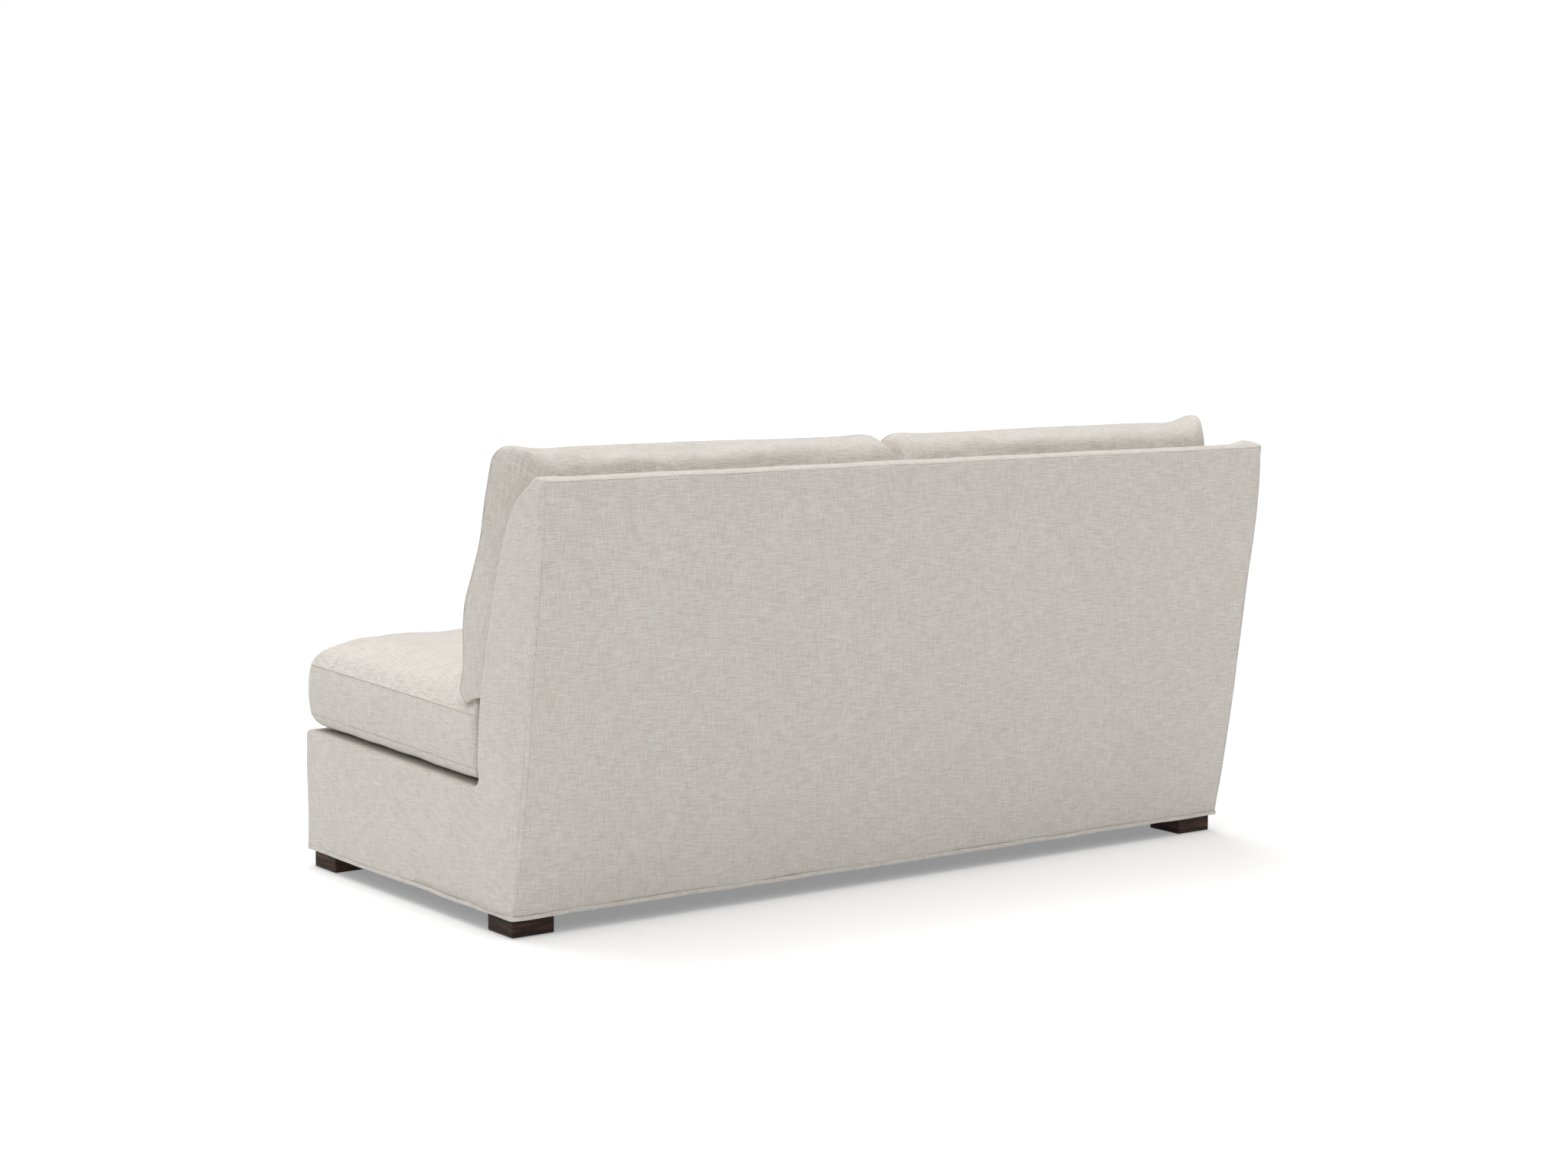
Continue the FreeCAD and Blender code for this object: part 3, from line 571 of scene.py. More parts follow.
class Cushion:
    """Two panels and a boxing between them, sewn along two seams. face: panel A's rows of (x, y, z); back: panel B's;
    boxing: rows from B's border to A's border, both ends left out."""

    def __init__(self, name, ax, ay, face, start_face, back, boxing, start_boxing, uv_step, uv0):
        self.name = name
        nx, ny = face.shape[:2]
        self.nx, self.ny = nx, ny
        self.loop = loop_of(nx, ny)
        nb = len(self.loop)
        idx_a = np.arange(nx * ny).reshape(nx, ny)
        idx_b = idx_a + nx * ny
        rows = boxing.shape[0]
        idx_c = 2 * nx * ny + np.arange(rows * nb).reshape(rows, nb)
        ring_a = np.array([idx_a[i, j] for i, j in self.loop])
        ring_b = np.array([idx_b[i, j] for i, j in self.loop])
        self.ring_a, self.ring_b = ring_a, ring_b
        self.target = np.vstack([face.reshape(-1, 3), back.reshape(-1, 3), boxing.reshape(-1, 3)])
        self.start = np.vstack([start_face.reshape(-1, 3), back.reshape(-1, 3), start_boxing.reshape(-1, 3)])
        self.n_face, self.n_back = nx * ny, nx * ny
        faces, uvs = [], []
        for i in range(nx - 1):
            for j in range(ny - 1):
                faces.append((idx_a[i, j], idx_a[i + 1, j], idx_a[i + 1, j + 1], idx_a[i, j + 1]))
                uvs += [(ax[i, j] + uv0, ay[i, j] + uv0), (ax[i + 1, j] + uv0, ay[i + 1, j] + uv0),
                        (ax[i + 1, j + 1] + uv0, ay[i + 1, j + 1] + uv0), (ax[i, j + 1] + uv0, ay[i, j + 1] + uv0)]
                faces.append((idx_b[i, j + 1], idx_b[i + 1, j + 1], idx_b[i + 1, j], idx_b[i, j]))
                u2 = uv0 + 2300.0
                uvs += [(ax[i, j + 1] + u2, ay[i, j + 1]), (ax[i + 1, j + 1] + u2, ay[i + 1, j + 1]),
                        (ax[i + 1, j] + u2, ay[i + 1, j]), (ax[i, j] + u2, ay[i, j])]
        stack = np.vstack([ring_b[None], idx_c, ring_a[None]])
        round_ = lengths(np.vstack([self.target[ring_a], self.target[ring_a[:1]]]))
        height = np.r_[0.0, np.cumsum(uv_step)]
        for r in range(rows + 1):
            for k in range(nb):
                l = (k + 1) % nb
                faces.append((stack[r, k], stack[r, l], stack[r + 1, l], stack[r + 1, k]))
                a, b = round_[k] + uv0 + 4100.0, round_[k + 1] + uv0 + 4100.0
                uvs += [(a, height[r]), (b, height[r]), (b, height[r + 1]), (a, height[r + 1])]
        self.faces, self.uvs = faces, uvs

    def simulate(self, pressure=4.0, frames=20, slack=2.0, held=None):
        """The stuffing pushes the cloth out from a slacker start; the seams and what rests on something are held."""
        ob = mesh_object(self.name + "_sim", self.start, self.faces)
        pin = ob.vertex_groups.new(name="held")
        fixed = np.zeros(len(self.start), bool)
        fixed[self.n_face:self.n_face + self.n_back] = True
        fixed[self.ring_a] = True
        if held is not None:
            fixed |= held
        pin.add(np.flatnonzero(fixed).tolist(), 1.0, "REPLACE")
        cloth = ob.modifiers.new("cloth", "CLOTH")
        st = cloth.settings
        st.quality = 5
        st.mass = 0.008
        st.tension_stiffness = st.compression_stiffness = 8.0
        st.shear_stiffness = 4.0
        st.bending_stiffness = 0.4
        st.use_pressure = True
        st.uniform_pressure_force = pressure
        st.vertex_group_mass = "held"
        st.effector_weights.gravity = 0.0
        cloth.collision_settings.use_collision = False
        cloth.collision_settings.use_self_collision = False
        cloth.point_cache.frame_start = 1
        cloth.point_cache.frame_end = frames
        for f in range(1, frames + 1):
            scene.frame_set(f)
        dg = bpy.context.evaluated_depsgraph_get()
        done = coords(ob.evaluated_get(dg).to_mesh()) / MM
        scene.frame_set(1)
        me = ob.data
        bpy.data.objects.remove(ob)
        bpy.data.meshes.remove(me)
        move = done - self.start
        size = np.linalg.norm(move, axis=1, keepdims=True)
        cap = np.linalg.norm(self.target - self.start, axis=1, keepdims=True) + slack
        free = ~fixed
        print("cushion", self.name, "moved", round(float(size.max()), 1), "mm before the cap of at most", round(float(cap.max()), 1),
              "mm; share at the cap", round(float((size[free] >= cap[free]).mean()), 2))
        cap[fixed] = 0.0
        return self.start + move * np.minimum(1.0, cap / np.maximum(size, 1e-6))

    def build(self, where, seed, roll=1.2, pucker=0.45, mirror=False, clear=None):
        faces, uvs = self.faces, np.array(self.uvs)
        pts = where.copy()
        if mirror:
            pts[:, 0] *= -1
            order = []
            base = 0
            for f in faces:
                order += [base + k for k in range(len(f))][::-1]
                base += len(f)
            uvs = uvs[order] + (650.0, 370.0)
            faces = [f[::-1] for f in faces]
        ob = mesh_object(self.name, pts, faces, uvs)
        me = ob.data
        seam = set()
        for ring in (self.ring_a, self.ring_b):
            for a, b in zip(ring, np.roll(ring, -1)):
                seam.add((min(a, b), max(a, b)))
        crease = me.attributes.new("crease_edge", "FLOAT", "EDGE")
        sharp = me.attributes.get("sharp_edge") or me.attributes.new("sharp_edge", "BOOLEAN", "EDGE")
        on = np.array([tuple(sorted(e.vertices)) in seam for e in me.edges])
        crease.data.foreach_set("value", on.astype(np.float32))
        sharp.data.foreach_set("value", on)
        sub = ob.modifiers.new("subdivision", "SUBSURF")
        sub.levels = sub.render_levels = 1
        final_mesh(ob)
        me = ob.data
        co, no = coords(me) / MM, normals(me)
        flags = np.zeros(len(me.edges), bool)
        me.attributes["sharp_edge"].data.foreach_get("value", flags)
        ends = np.zeros(len(me.edges) * 2, np.int32)
        me.edges.foreach_get("vertices", ends)
        ends = ends.reshape(-1, 2)[flags]
        on_seam = np.unique(ends)
        dist = nearest(co, co[on_seam])
        big, small = Waves(seed, 90, 260), Waves(seed + 1, 17, 34)
        inside = 1 - np.exp(-(dist / 22.0) ** 2)
        push = roll * big(co) * inside + pucker * small(co) * np.exp(-dist / 10.0) * (1 - np.exp(-(dist / 2.5) ** 2))
        push -= 0.6 * np.exp(-((dist - 2.4) / 1.3) ** 2)
        co = co + no * push[:, None]
        if clear is not None:
            co = clear(co)
        set_coords(me, co * MM)
        # the two seams, as closed lines of points
        nxt = {}
        for a, b in ends:
            nxt.setdefault(int(a), []).append(int(b))
            nxt.setdefault(int(b), []).append(int(a))
        rings, left = [], set(nxt)
        while left:
            start = min(left)
            ring, prev, here = [start], None, start
            while True:
                step = [q for q in nxt[here] if q != prev]
                q = step[0]
                if q == start:
                    break
                ring.append(q)
                prev, here = here, q
            left -= set(ring)
            rings.append(co[ring])
        return ob, rings, no


def nearest(pts, to):
    from mathutils.kdtree import KDTree
    tree = KDTree(len(to))
    for i, q in enumerate(to):
        tree.insert(q, i)
    tree.balance()
    return np.array([tree.find(p)[2] for p in pts])


def welt(name, ring, centre, radius=1.15):
    """The sewn edge: a thin ridge of cloth along a seam."""
    n = len(ring)
    fine = []
    for i in range(n):
        a, b, c, d = (ring[(i + k) % n] for k in (-1, 0, 1, 2))
        for t in (0.0, 0.5):
            fine.append(0.5 * ((2 * b) + (c - a) * t + (2 * a - 5 * b + 4 * c - d) * t * t + (3 * b - a - 3 * c + d) * t ** 3))
    fine = np.array(fine)
    up = unit(fine - centre)
    sec = [(radius * math.cos(2 * math.pi * k / 8), radius * math.sin(2 * math.pi * k / 8)) for k in range(8)]
    return sweep(name, fine, sec, True, up, 300.0)


# seat: level coordinates are (x, y, height above the deck), then pitched on to the deck
def pitched(x, y, h):
    c, s = math.cos(SLOPE), math.sin(SLOPE)
    return np.stack([x, -430.0 + (y + 430.0) * c + h * s, 270.5 - (y + 430.0) * s + h * c], -1)


SEAT_X0, SEAT_X1, SEAT_Y0, SEAT_Y1 = 7.6, 843.0, -441.0, 202.8
SEAT_BULGE = 6.4


def seat_cushion(side):
    w, h = SEAT_X1 - SEAT_X0, SEAT_Y1 - SEAT_Y0
    gx, gy = np.meshgrid(grid_lines(w, 36, 13.0), grid_lines(h, 36, 13.0), indexing="ij")
    dx, dy = np.minimum(gx, w - gx), np.minimum(gy, h - gy)
    mx, my = corner_map(gx, gy, w, h, (16, 12, 9, 16))
    my = my - 1.0 * smoothstep(0.945, 0.99, gx / w) * smoothstep(0.9, 1.0, gy / h)
    # the sides pull in a little between the corners
    mx = mx - 1.6 * np.sin(math.pi * gy / h) * (gx / w) ** 3 + 1.0 * np.sin(math.pi * gy / h) * (1 - gx / w) ** 3
    my = my + 2.5 * np.sin(math.pi * gx / w) * (1 - gy / h) ** 3
    ax, ay = SEAT_X0 + mx, SEAT_Y0 + my
    d = ((dx + 1e-6) ** -3.5 + (dy + 1e-6) ** -3.5) ** (-1 / 3.5)

    def crown(k):
        c = 50.0 * (1 - np.exp(-d / 10.0)) + 41.0 * (1 - np.exp(-dx / 210.0)) * (1 - np.exp(-dy / 210.0))
        # the back cushion presses the rear of the seat down
        limit = 20.5 + 0.55 * np.maximum(0.0, 150.0 - ay) ** 1.1 + 12.0 * smoothstep(775, 826, ax) * smoothstep(120, 165, ay)
        c = -6.0 * np.log(np.exp(-c / 6.0) + np.exp(-limit / 6.0))
        return SEAT_SEAM_HIGH + k * np.maximum(c, 0.0)

    face, start = pitched(ax, ay, crown(1.0)), pitched(ax, ay, crown(0.85))
    d = np.minimum(dx, dy)
    under = np.interp(d, [0, 4, 10, 20, 34, 55, 74], [31, 23, 13, 7, 3.5, 1, 0.0])
    back = pitched(ax, ay, under)
    lp = loop_of(*gx.shape)
    bx, by = np.array([ax[i, j] for i, j in lp]), np.array([ay[i, j] for i, j in lp])
    t = np.stack([np.roll(bx, -1) - np.roll(bx, 1), np.roll(by, -1) - np.roll(by, 1)], -1)
    nrm = unit(np.stack([t[:, 1], -t[:, 0]], -1))
    ks = np.array([0.04, 0.10, 0.2, 0.35, 0.5, 0.65, 0.8, 0.9, 0.96])
    rows, rows0 = [], []
    for k in ks:
        hh = SEAT_SEAM_LOW + (SEAT_SEAM_HIGH - SEAT_SEAM_LOW) * k
        for out, amount in ((rows, SEAT_BULGE), (rows0, SEAT_BULGE * 0.85)):
            b = amount * math.sin(math.pi * k) ** 0.6
            out.append(pitched(bx + nrm[:, 0] * b, by + nrm[:, 1] * b, np.full(len(bx), hh)))
    step = np.diff(np.r_[0.0, ks, 1.0]) * (SEAT_SEAM_HIGH - SEAT_SEAM_LOW)
    return Cushion("seat_cushion_cover_" + side, ax, ay, face, start, back, np.array(rows), np.array(rows0), step,
                   0.0 if side == "left" else 1130.0)


def above_deck(co):
    """Flat where the cushion rests: no lower than the deck and its front lip; flat too under the zip in its rear."""
    x, y, z = np.abs(co[:, 0]), co[:, 1], co[:, 2]
    co[:, 2] = np.maximum(z, deck_z(y) + 3.0)
    at = smoothstep(40, 58, x) * (1 - smoothstep(788, 806, x)) * smoothstep(284, 296, z) * (1 - smoothstep(352, 364, z)) * (y > 195)
    co[:, 1] += at * (211.2 + 0.03 * (z - 331.0) - y)
    return co


def below_zip(co):
    """The underside of a back cushion is flat along its zip."""
    x, y, z = np.abs(co[:, 0]), co[:, 1], co[:, 2]
    at = smoothstep(40, 58, x) * (1 - smoothstep(788, 806, x)) * smoothstep(153, 164, y) * (1 - smoothstep(213, 226, y)) * (z < 425)
    co[:, 2] += at * (409.7 - 0.0964 * (y - 181.3) - z)
    # plump along the top, with the right one's outer corner standing higher
    top = smoothstep(770, 836, z)
    co[:, 2] += top * 2.2 * smoothstep(200, 420, x) * (1 - smoothstep(770, 800, x))
    co[:, 2] += top * (co[:, 0] < 0) * 7.0 * np.exp(-((x - 803.0) / 38.0) ** 2)
    return co


# back cushion: (y, z) lines of its front seam and of its rear, at mid width and at its outer end
F_MID = spline([(153, 412), (149.5, 424), (151, 443), (154, 463), (156, 490), (157.5, 525), (161.5, 558), (170.5, 587), (185, 616),
                (199, 644), (212.5, 672), (223.5, 700), (235, 741), (247.5, 781), (259, 812), (267.5, 834), (276, 848.5)], 2.0)
F_END = spline([(168, 396.5), (154, 406), (148, 420), (153, 438), (159.5, 459), (160, 480), (159, 522), (162, 558), (170, 586),
                (185, 614), (199, 642), (213, 670), (224, 698), (234.5, 740), (247, 780), (259, 812), (267.5, 832), (275, 846)], 2.0)
rest_on = spline(INSIDE, 2.0)
rest_on = rest_on[(rest_on[:, 1] > 380) & (rest_on[:, 1] < 748)]
rt = unit(np.gradient(rest_on, axis=0))
rest_on = rest_on + np.stack([-rt[:, 1], rt[:, 0]], -1) * 1.8


def rear_line(z0):
    m = rest_on[rest_on[:, 1] > z0 + 4]
    return spline(np.vstack([[np.interp(z0, rest_on[:, 1], rest_on[:, 0]), z0], m[::12], [[349.0, 766.0], [351.0, 786.0], [351.5, 803.0]]]), 2.0)


B_MID, B_END = rear_line(403.0), rear_line(413.0)
BACK_X0, BACK_X1 = 5.0, 840.6
BACK_H = 446.0
DOME = np.array([(0, 0), (.05, 3.5), (.1, 6.5), (.2, 11.6), (.35, 17), (.5, 20), (.65, 21.5), (.8, 20.5), (.9, 16), (.96, 10), (1, 0)])


def back_cushion(side):
    w, h = BACK_X1 - BACK_X0, BACK_H
    gx, gy = np.meshgrid(grid_lines(w, 38, 13.0), grid_lines(h, 38, 13.0), indexing="ij")
    dx, dy = np.minimum(gx, w - gx), np.minimum(gy, h - gy)
    mx, my = corner_map(gx, gy, w, h, (16, 6, 18, 30))
    rx, ry = corner_map(gx, gy, w, h, (16, 12, 34, 38))
    pull = np.sin(math.pi * gy / h)
    mx = mx - 2.0 * pull * (gx / w) ** 4 + 1.5 * pull * (1 - gx / w) ** 4
    rx = rx - 2.0 * pull * (gx / w) ** 4 + 1.5 * pull * (1 - gx / w) ** 4
    rx = rx - (15.0 + 40.0 * smoothstep(0.45, 0.95, gy / h)) * (gx / w) ** 6
    ax, bx = BACK_X0 + mx, BACK_X0 + rx

    def seam(mid, end, x, y, x0):
        wo = smoothstep(x0, 834, x)[..., None]
        f = (y / h).ravel()
        return along(mid, f).reshape(*y.shape, 2) * (1 - wo) + along(end, f).reshape(*y.shape, 2) * wo

    front, rear = seam(F_MID, F_END, ax, my, 735), seam(B_MID, B_END, bx, ry, 795)
    g = np.gradient(front, axis=1)
    g = unit(g / np.gradient(np.arange(front.shape[1]))[None, :, None])
    nf = np.stack([-g[..., 1], g[..., 0]], -1)

    def ears(v):
        v = v.copy()
        top = smoothstep(778, 838, v[..., 2])
        v[..., 2] += top * (10.0 * np.exp(-((v[..., 0] - 810) / 27.0) ** 2) + 2.5 * np.exp(-((v[..., 0] - 50) / 26.0) ** 2)
                            - 1.8 * np.exp(-((v[..., 0] - 735) / 30.0) ** 2))
        return v

    def bulge(k):
        b = k * 25.0 * (1 - np.exp(-dx / 52.0)) * (1 - np.exp(-dy / 52.0))
        return ears(np.stack([ax, front[..., 0] + nf[..., 0] * b, front[..., 1] + nf[..., 1] * b], -1))

    face, start = bulge(1.0), bulge(0.8)
    back = ears(np.stack([bx, rear[..., 0], rear[..., 1]], -1))
    lp = loop_of(*gx.shape)
    pa = np.array([(ax[i, j], *front[i, j]) for i, j in lp])
    pb = np.array([(bx[i, j], *rear[i, j]) for i, j in lp])
    pl = np.array([(ax[i, j], my[i, j]) for i, j in lp])
    t = np.roll(pl, -1, 0) - np.roll(pl, 1, 0)
    nrm = unit(np.stack([t[:, 1], -t[:, 0]], -1))
    ks = np.array([0.04, 0.10, 0.2, 0.33, 0.47, 0.6, 0.73, 0.84, 0.92, 0.97])
    rows, rows0 = [], []
    low = smoothstep(0.2, 0.9, -nrm[:, 1])
    high = np.clip(nrm[:, 1], 0, 1)
    outer = smoothstep(795, 836, pa[:, 0])
    for k in ks:                      # k runs from the rear seam to the front seam
        v = pb + (pa - pb) * k
        for out, amount in ((rows, 1.0), (rows0, 0.85)):
            q = v.copy()
            q[:, 0] += amount * nrm[:, 0] * 4.4 * math.sin(math.pi * k) ** 0.65
            q[:, 2] += (0.55 + 0.45 * amount) * high * np.interp(1 - k, DOME[:, 0], DOME[:, 1])
            q[:, 2] += low * (2.4 * smoothstep(0.05, 0.25, k) * (1 - smoothstep(0.8, 0.97, k)) +
                              outer * 4.0 * math.sin(math.pi * k) ** 0.8)
            out.append(ears(q))
    step = np.diff(np.r_[0.0, ks, 1.0]) * 105.0
    return Cushion("back_cushion_cover_" + side, ax, my, face, start, back, np.array(rows), np.array(rows0), step,
                   500.0 if side == "left" else 1710.0)


soft = {}
seat = seat_cushion("left")
back = back_cushion("left")
seat_shape = seat.simulate()
nb = len(back.loop)
boxing_low = np.zeros(len(back.start), bool)
where_box = back.start[back.n_face + back.n_back:]
boxing_low[back.n_face + back.n_back:] = where_box[:, 2] < 418.0
back_shape = back.simulate(held=boxing_low)

for side, seed in (("left", 40), ("right", 60)):
    mirror = side == "right"
    seat.name = "seat_cushion_cover_" + side
    ob, rings, no = seat.build(seat_shape, seed, 1.0, 0.22, mirror, above_deck)
    soft[ob.name] = ob
    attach(ob, "seat_cushion_" + side)
    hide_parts("seat_cover_" + side, "seat_wrap_" + side, "seat_core_" + side)
    for i, ring in enumerate(rings):
        t = welt("seat_seam_%s_%d" % (side, i), ring, ring.mean(0))
        soft[t.name] = t
        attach(t, "seat_cushion_" + side)
    back.name = "back_cushion_cover_" + side
    ob, rings, no = back.build(back_shape, seed + 10, 1.8, 0.5, mirror, below_zip)
    soft[ob.name] = ob
    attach(ob, "back_cushion_" + side)
    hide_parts("back_cover_" + side, "back_insert_" + side)
    for i, ring in enumerate(rings):
        t = welt("back_seam_%s_%d" % (side, i), ring, ring.mean(0))
        soft[t.name] = t
        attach(t, "back_cushion_" + side)


# ------------------------------------------------------------------ materials
class Nodes:
    def __init__(self, name):
        self.mat = bpy.data.materials.new(name)
        self.mat.use_nodes = True
        self.t = self.mat.node_tree
        self.t.nodes.clear()
        self.out = self.t.nodes.new("ShaderNodeOutputMaterial")
        self.shader = self.t.nodes.new("ShaderNodeBsdfPrincipled")
        self.t.links.new(self.shader.outputs[0], self.out.inputs[0])

    def new(self, kind, **values):
        n = self.t.nodes.new(kind)
        for k, v in values.items():
            setattr(n, k, v)
        return n

    def link(self, a, b):
        self.t.links.new(a, b)

    def uv(self):
        return self.new("ShaderNodeUVMap", uv_map="weave").outputs[0]

    def place(self):
        return self.new("ShaderNodeTexCoord").outputs["Object"]

    def scaled(self, vector, scale, shift=(0, 0, 0)):
        m = self.new("ShaderNodeMapping")
        m.inputs["Scale"].default_value = scale
        m.inputs["Location"].default_value = shift
        self.link(vector, m.inputs["Vector"])
        return m.outputs[0]

    def noise(self, vector, scale=1.0, detail=2.0, rough=0.5, dims="3D"):
        n = self.new("ShaderNodeTexNoise", noise_dimensions=dims)
        n.inputs["Scale"].default_value = scale
        n.inputs["Detail"].default_value = detail
        n.inputs["Roughness"].default_value = rough
        self.link(vector, n.inputs["Vector"])
        return n.outputs["Fac"]

    def math(self, op, a, b=None, c=None):
        n = self.new("ShaderNodeMath", operation=op)
        for i, v in enumerate((a, b, c)):
            if v is None:
                continue
            if isinstance(v, (int, float)):
                n.inputs[i].default_value = v
            else:
                self.link(v, n.inputs[i])
        return n.outputs[0]

    def vmath(self, op, a, b):
        n = self.new("ShaderNodeVectorMath", operation=op)
        for i, v in enumerate((a, b)):
            if isinstance(v, tuple):
                n.inputs[i].default_value = v
            else:
                self.link(v, n.inputs[i])
        return n.outputs[0]

    def mix(self, factor, a, b):
        n = self.new("ShaderNodeMix", data_type="RGBA")
        self.link(factor, n.inputs[0])
        for i, v in ((6, a), (7, b)):
            if isinstance(v, tuple):
                n.inputs[i].default_value = (*v, 1.0)
            else:
                self.link(v, n.inputs[i])
        return n.outputs[2]

    def ramp(self, factor, stops):
        n = self.new("ShaderNodeValToRGB")
        e = n.color_ramp.elements
        while len(e) < len(stops):
            e.new(0.5)
        for el, (pos, col) in zip(e, stops):
            el.position = pos
            el.color = (*col, 1.0)
        self.link(factor, n.inputs[0])
        return n.outputs[0]

    def bump(self, height, strength, distance):
        n = self.new("ShaderNodeBump")
        n.inputs["Strength"].default_value = strength
        n.inputs["Distance"].default_value = distance
        self.link(height, n.inputs["Height"])
        self.link(n.outputs[0], self.shader.inputs["Normal"])

    def set(self, **values):
        for k, v in values.items():
            self.shader.inputs[k.replace("_", " ")].default_value = v


def linen(name):
    m = Nodes(name)
    uv = m.uv()
    # threads wander a little
    wander = m.new("ShaderNodeTexNoise", noise_dimensions="2D")
    wander.inputs["Scale"].default_value = 24.0
    wander.inputs["Detail"].default_value = 1.0
    m.link(uv, wander.inputs["Vector"])
    shift = m.vmath("MULTIPLY", m.vmath("SUBTRACT", wander.outputs["Color"], (0.5, 0.5, 0.5)), (0.0035, 0.0035, 0.0))
    at = m.vmath("ADD", uv, shift)

    def threads(first, second, detail):
        """Streaks whose neighbours are offset along their length, so that no blocks line up."""
        both = m.new("ShaderNodeCombineXYZ")
        for axis, row in ((0, first), (1, second)):
            dot = m.new("ShaderNodeVectorMath", operation="DOT_PRODUCT")
            m.link(at, dot.inputs[0])
            dot.inputs[1].default_value = row
            m.link(dot.outputs["Value"], both.inputs[axis])
        return m.noise(both.outputs[0], 1.0, detail, 0.5, "2D")

    weft = threads((34.0, 1080.0 * 0.383, 0.0), (0.0, 1080.0, 0.0), 1.0)
    warp = threads((1050.0, 0.0, 0.0), (1050.0 * 0.417, 36.0, 0.0), 1.0)
    slub = threads((15.0, 520.0 * 0.347, 0.0), (0.0, 520.0, 0.0), 0.0)
    pale = threads((11.0, 760.0 * 0.371, 0.0), (0.0, 760.0, 0.0), 0.0)
    upright = threads((740.0, 0.0, 0.0), (740.0 * 0.359, 12.0, 0.0), 0.0)
    grain = m.noise(m.scaled(at, (820.0, 980.0, 1.0), (3.0, 9.0, 0.0)), 1.0, 1.0, 0.5, "2D")
    blot = m.noise(m.scaled(uv, (42.0, 130.0, 1.0), (2.0, 4.0, 0.0)), 1.0, 2.0, 0.55, "2D")
    cloud = m.noise(m.scaled(uv, (7.0, 6.0, 1.0), (8.0, 1.0, 0.0)), 1.0, 1.0, 0.5, "2D")

    def centred(x, k):
        return m.math("MULTIPLY", m.math("SUBTRACT", x, 0.5), k)

    total = m.math("ADD", centred(weft, 1.02), centred(warp, 0.82))
    total = m.math("ADD", total, centred(slub, 0.10))
    total = m.math("ADD", total, centred(grain, 1.0))
    # now and then a thicker, paler thread
    for thread, k in ((pale, 1.1), (upright, 0.7)):
        total = m.math("ADD", total, m.math("MULTIPLY", m.math("MAXIMUM", m.math("SUBTRACT", thread, 0.66), 0.0), k))
    height = m.math("ADD", total, 0.5)
    tone = m.math("ADD", m.math("ADD", total, centred(cloud, 0.06)), 0.5)
    cloth = m.ramp(tone, [(0.0, (0.440, 0.400, 0.355)), (0.32, (0.575, 0.532, 0.484)), (0.5, (0.645, 0.604, 0.556)),
                          (0.68, (0.712, 0.676, 0.633)), (1.0, (0.800, 0.772, 0.740))])
    warm = m.ramp(blot, [(0.0, (0, 0, 0)), (0.48, (0, 0, 0)), (0.74, (1, 1, 1)), (1.0, (1, 1, 1))])
    tint = m.new("ShaderNodeMix", data_type="RGBA", blend_type="MULTIPLY")
    m.link(m.math("MULTIPLY", warm, 0.40), tint.inputs[0])
    m.link(cloth, tint.inputs[6])
    tint.inputs[7].default_value = (1.0, 0.955, 0.905, 1.0)
    m.link(tint.outputs[2], m.shader.inputs["Base Color"])
    m.bump(height, 0.3, 0.0006)
    m.set(Roughness=0.93, Sheen_Weight=0.34, Sheen_Roughness=0.45, Specular_IOR_Level=0.15)
    return m.mat


def wood(name, dark, mid, light, stretch, rough, coat=0.0):
    m = Nodes(name)
    at = m.place()
    bend = m.new("ShaderNodeTexNoise")
    bend.inputs["Scale"].default_value = 9.0
    bend.inputs["Detail"].default_value = 2.0
    m.link(at, bend.inputs["Vector"])
    moved = m.vmath("ADD", at, m.vmath("MULTIPLY", m.vmath("SUBTRACT", bend.outputs["Color"], (0.5, 0.5, 0.5)), (0.004, 0.004, 0.004)))
    fibre = m.noise(m.scaled(moved, stretch), 1.0, 4.0, 0.6)
    pores = m.noise(m.scaled(moved, tuple(v * 2.6 for v in stretch), (3, 5, 7)), 1.0, 2.0, 0.5)
    broad = m.noise(m.scaled(moved, tuple(v * 0.18 for v in stretch), (1, 2, 3)), 1.0, 2.0, 0.5)
    f = m.math("ADD", m.math("MULTIPLY", fibre, 0.6), m.math("MULTIPLY", broad, 0.4))
    col = m.ramp(f, [(0.30, dark), (0.5, mid), (0.68, light)])
    m.link(col, m.shader.inputs["Base Color"])
    m.link(m.math("ADD", m.math("MULTIPLY", pores, 0.25), rough - 0.12), m.shader.inputs["Roughness"])
    m.bump(m.math("ADD", fibre, m.math("MULTIPLY", pores, 0.6)), 0.35, 0.0006)
    m.set(Specular_IOR_Level=0.22, Coat_Weight=coat, Coat_Roughness=0.35)
    return m.mat


def fibrous(name, a, b, scale, rough=0.95, bump=0.5):
    m = Nodes(name)
    at = m.place()
    n1 = m.noise(m.scaled(at, scale), 1.0, 4.0, 0.65)
    n2 = m.noise(at, 40.0, 2.0)
    m.link(m.mix(m.math("ADD", m.math("MULTIPLY", n1, 0.7), m.math("MULTIPLY", n2, 0.3)), a, b), m.shader.inputs["Base Color"])
    m.bump(n1, bump, 0.0008)
    m.set(Roughness=rough, Specular_IOR_Level=0.2)
    return m.mat


def metal(name, a, b, rough):
    m = Nodes(name)
    at = m.place()
    n = m.noise(at, 260.0, 3.0, 0.6)
    m.link(m.mix(n, a, b), m.shader.inputs["Base Color"])
    m.link(m.math("ADD", m.math("MULTIPLY", n, 0.2), rough - 0.1), m.shader.inputs["Roughness"])
    m.bump(n, 0.08, 0.0002)
    m.set(Metallic=1.0)
    return m.mat


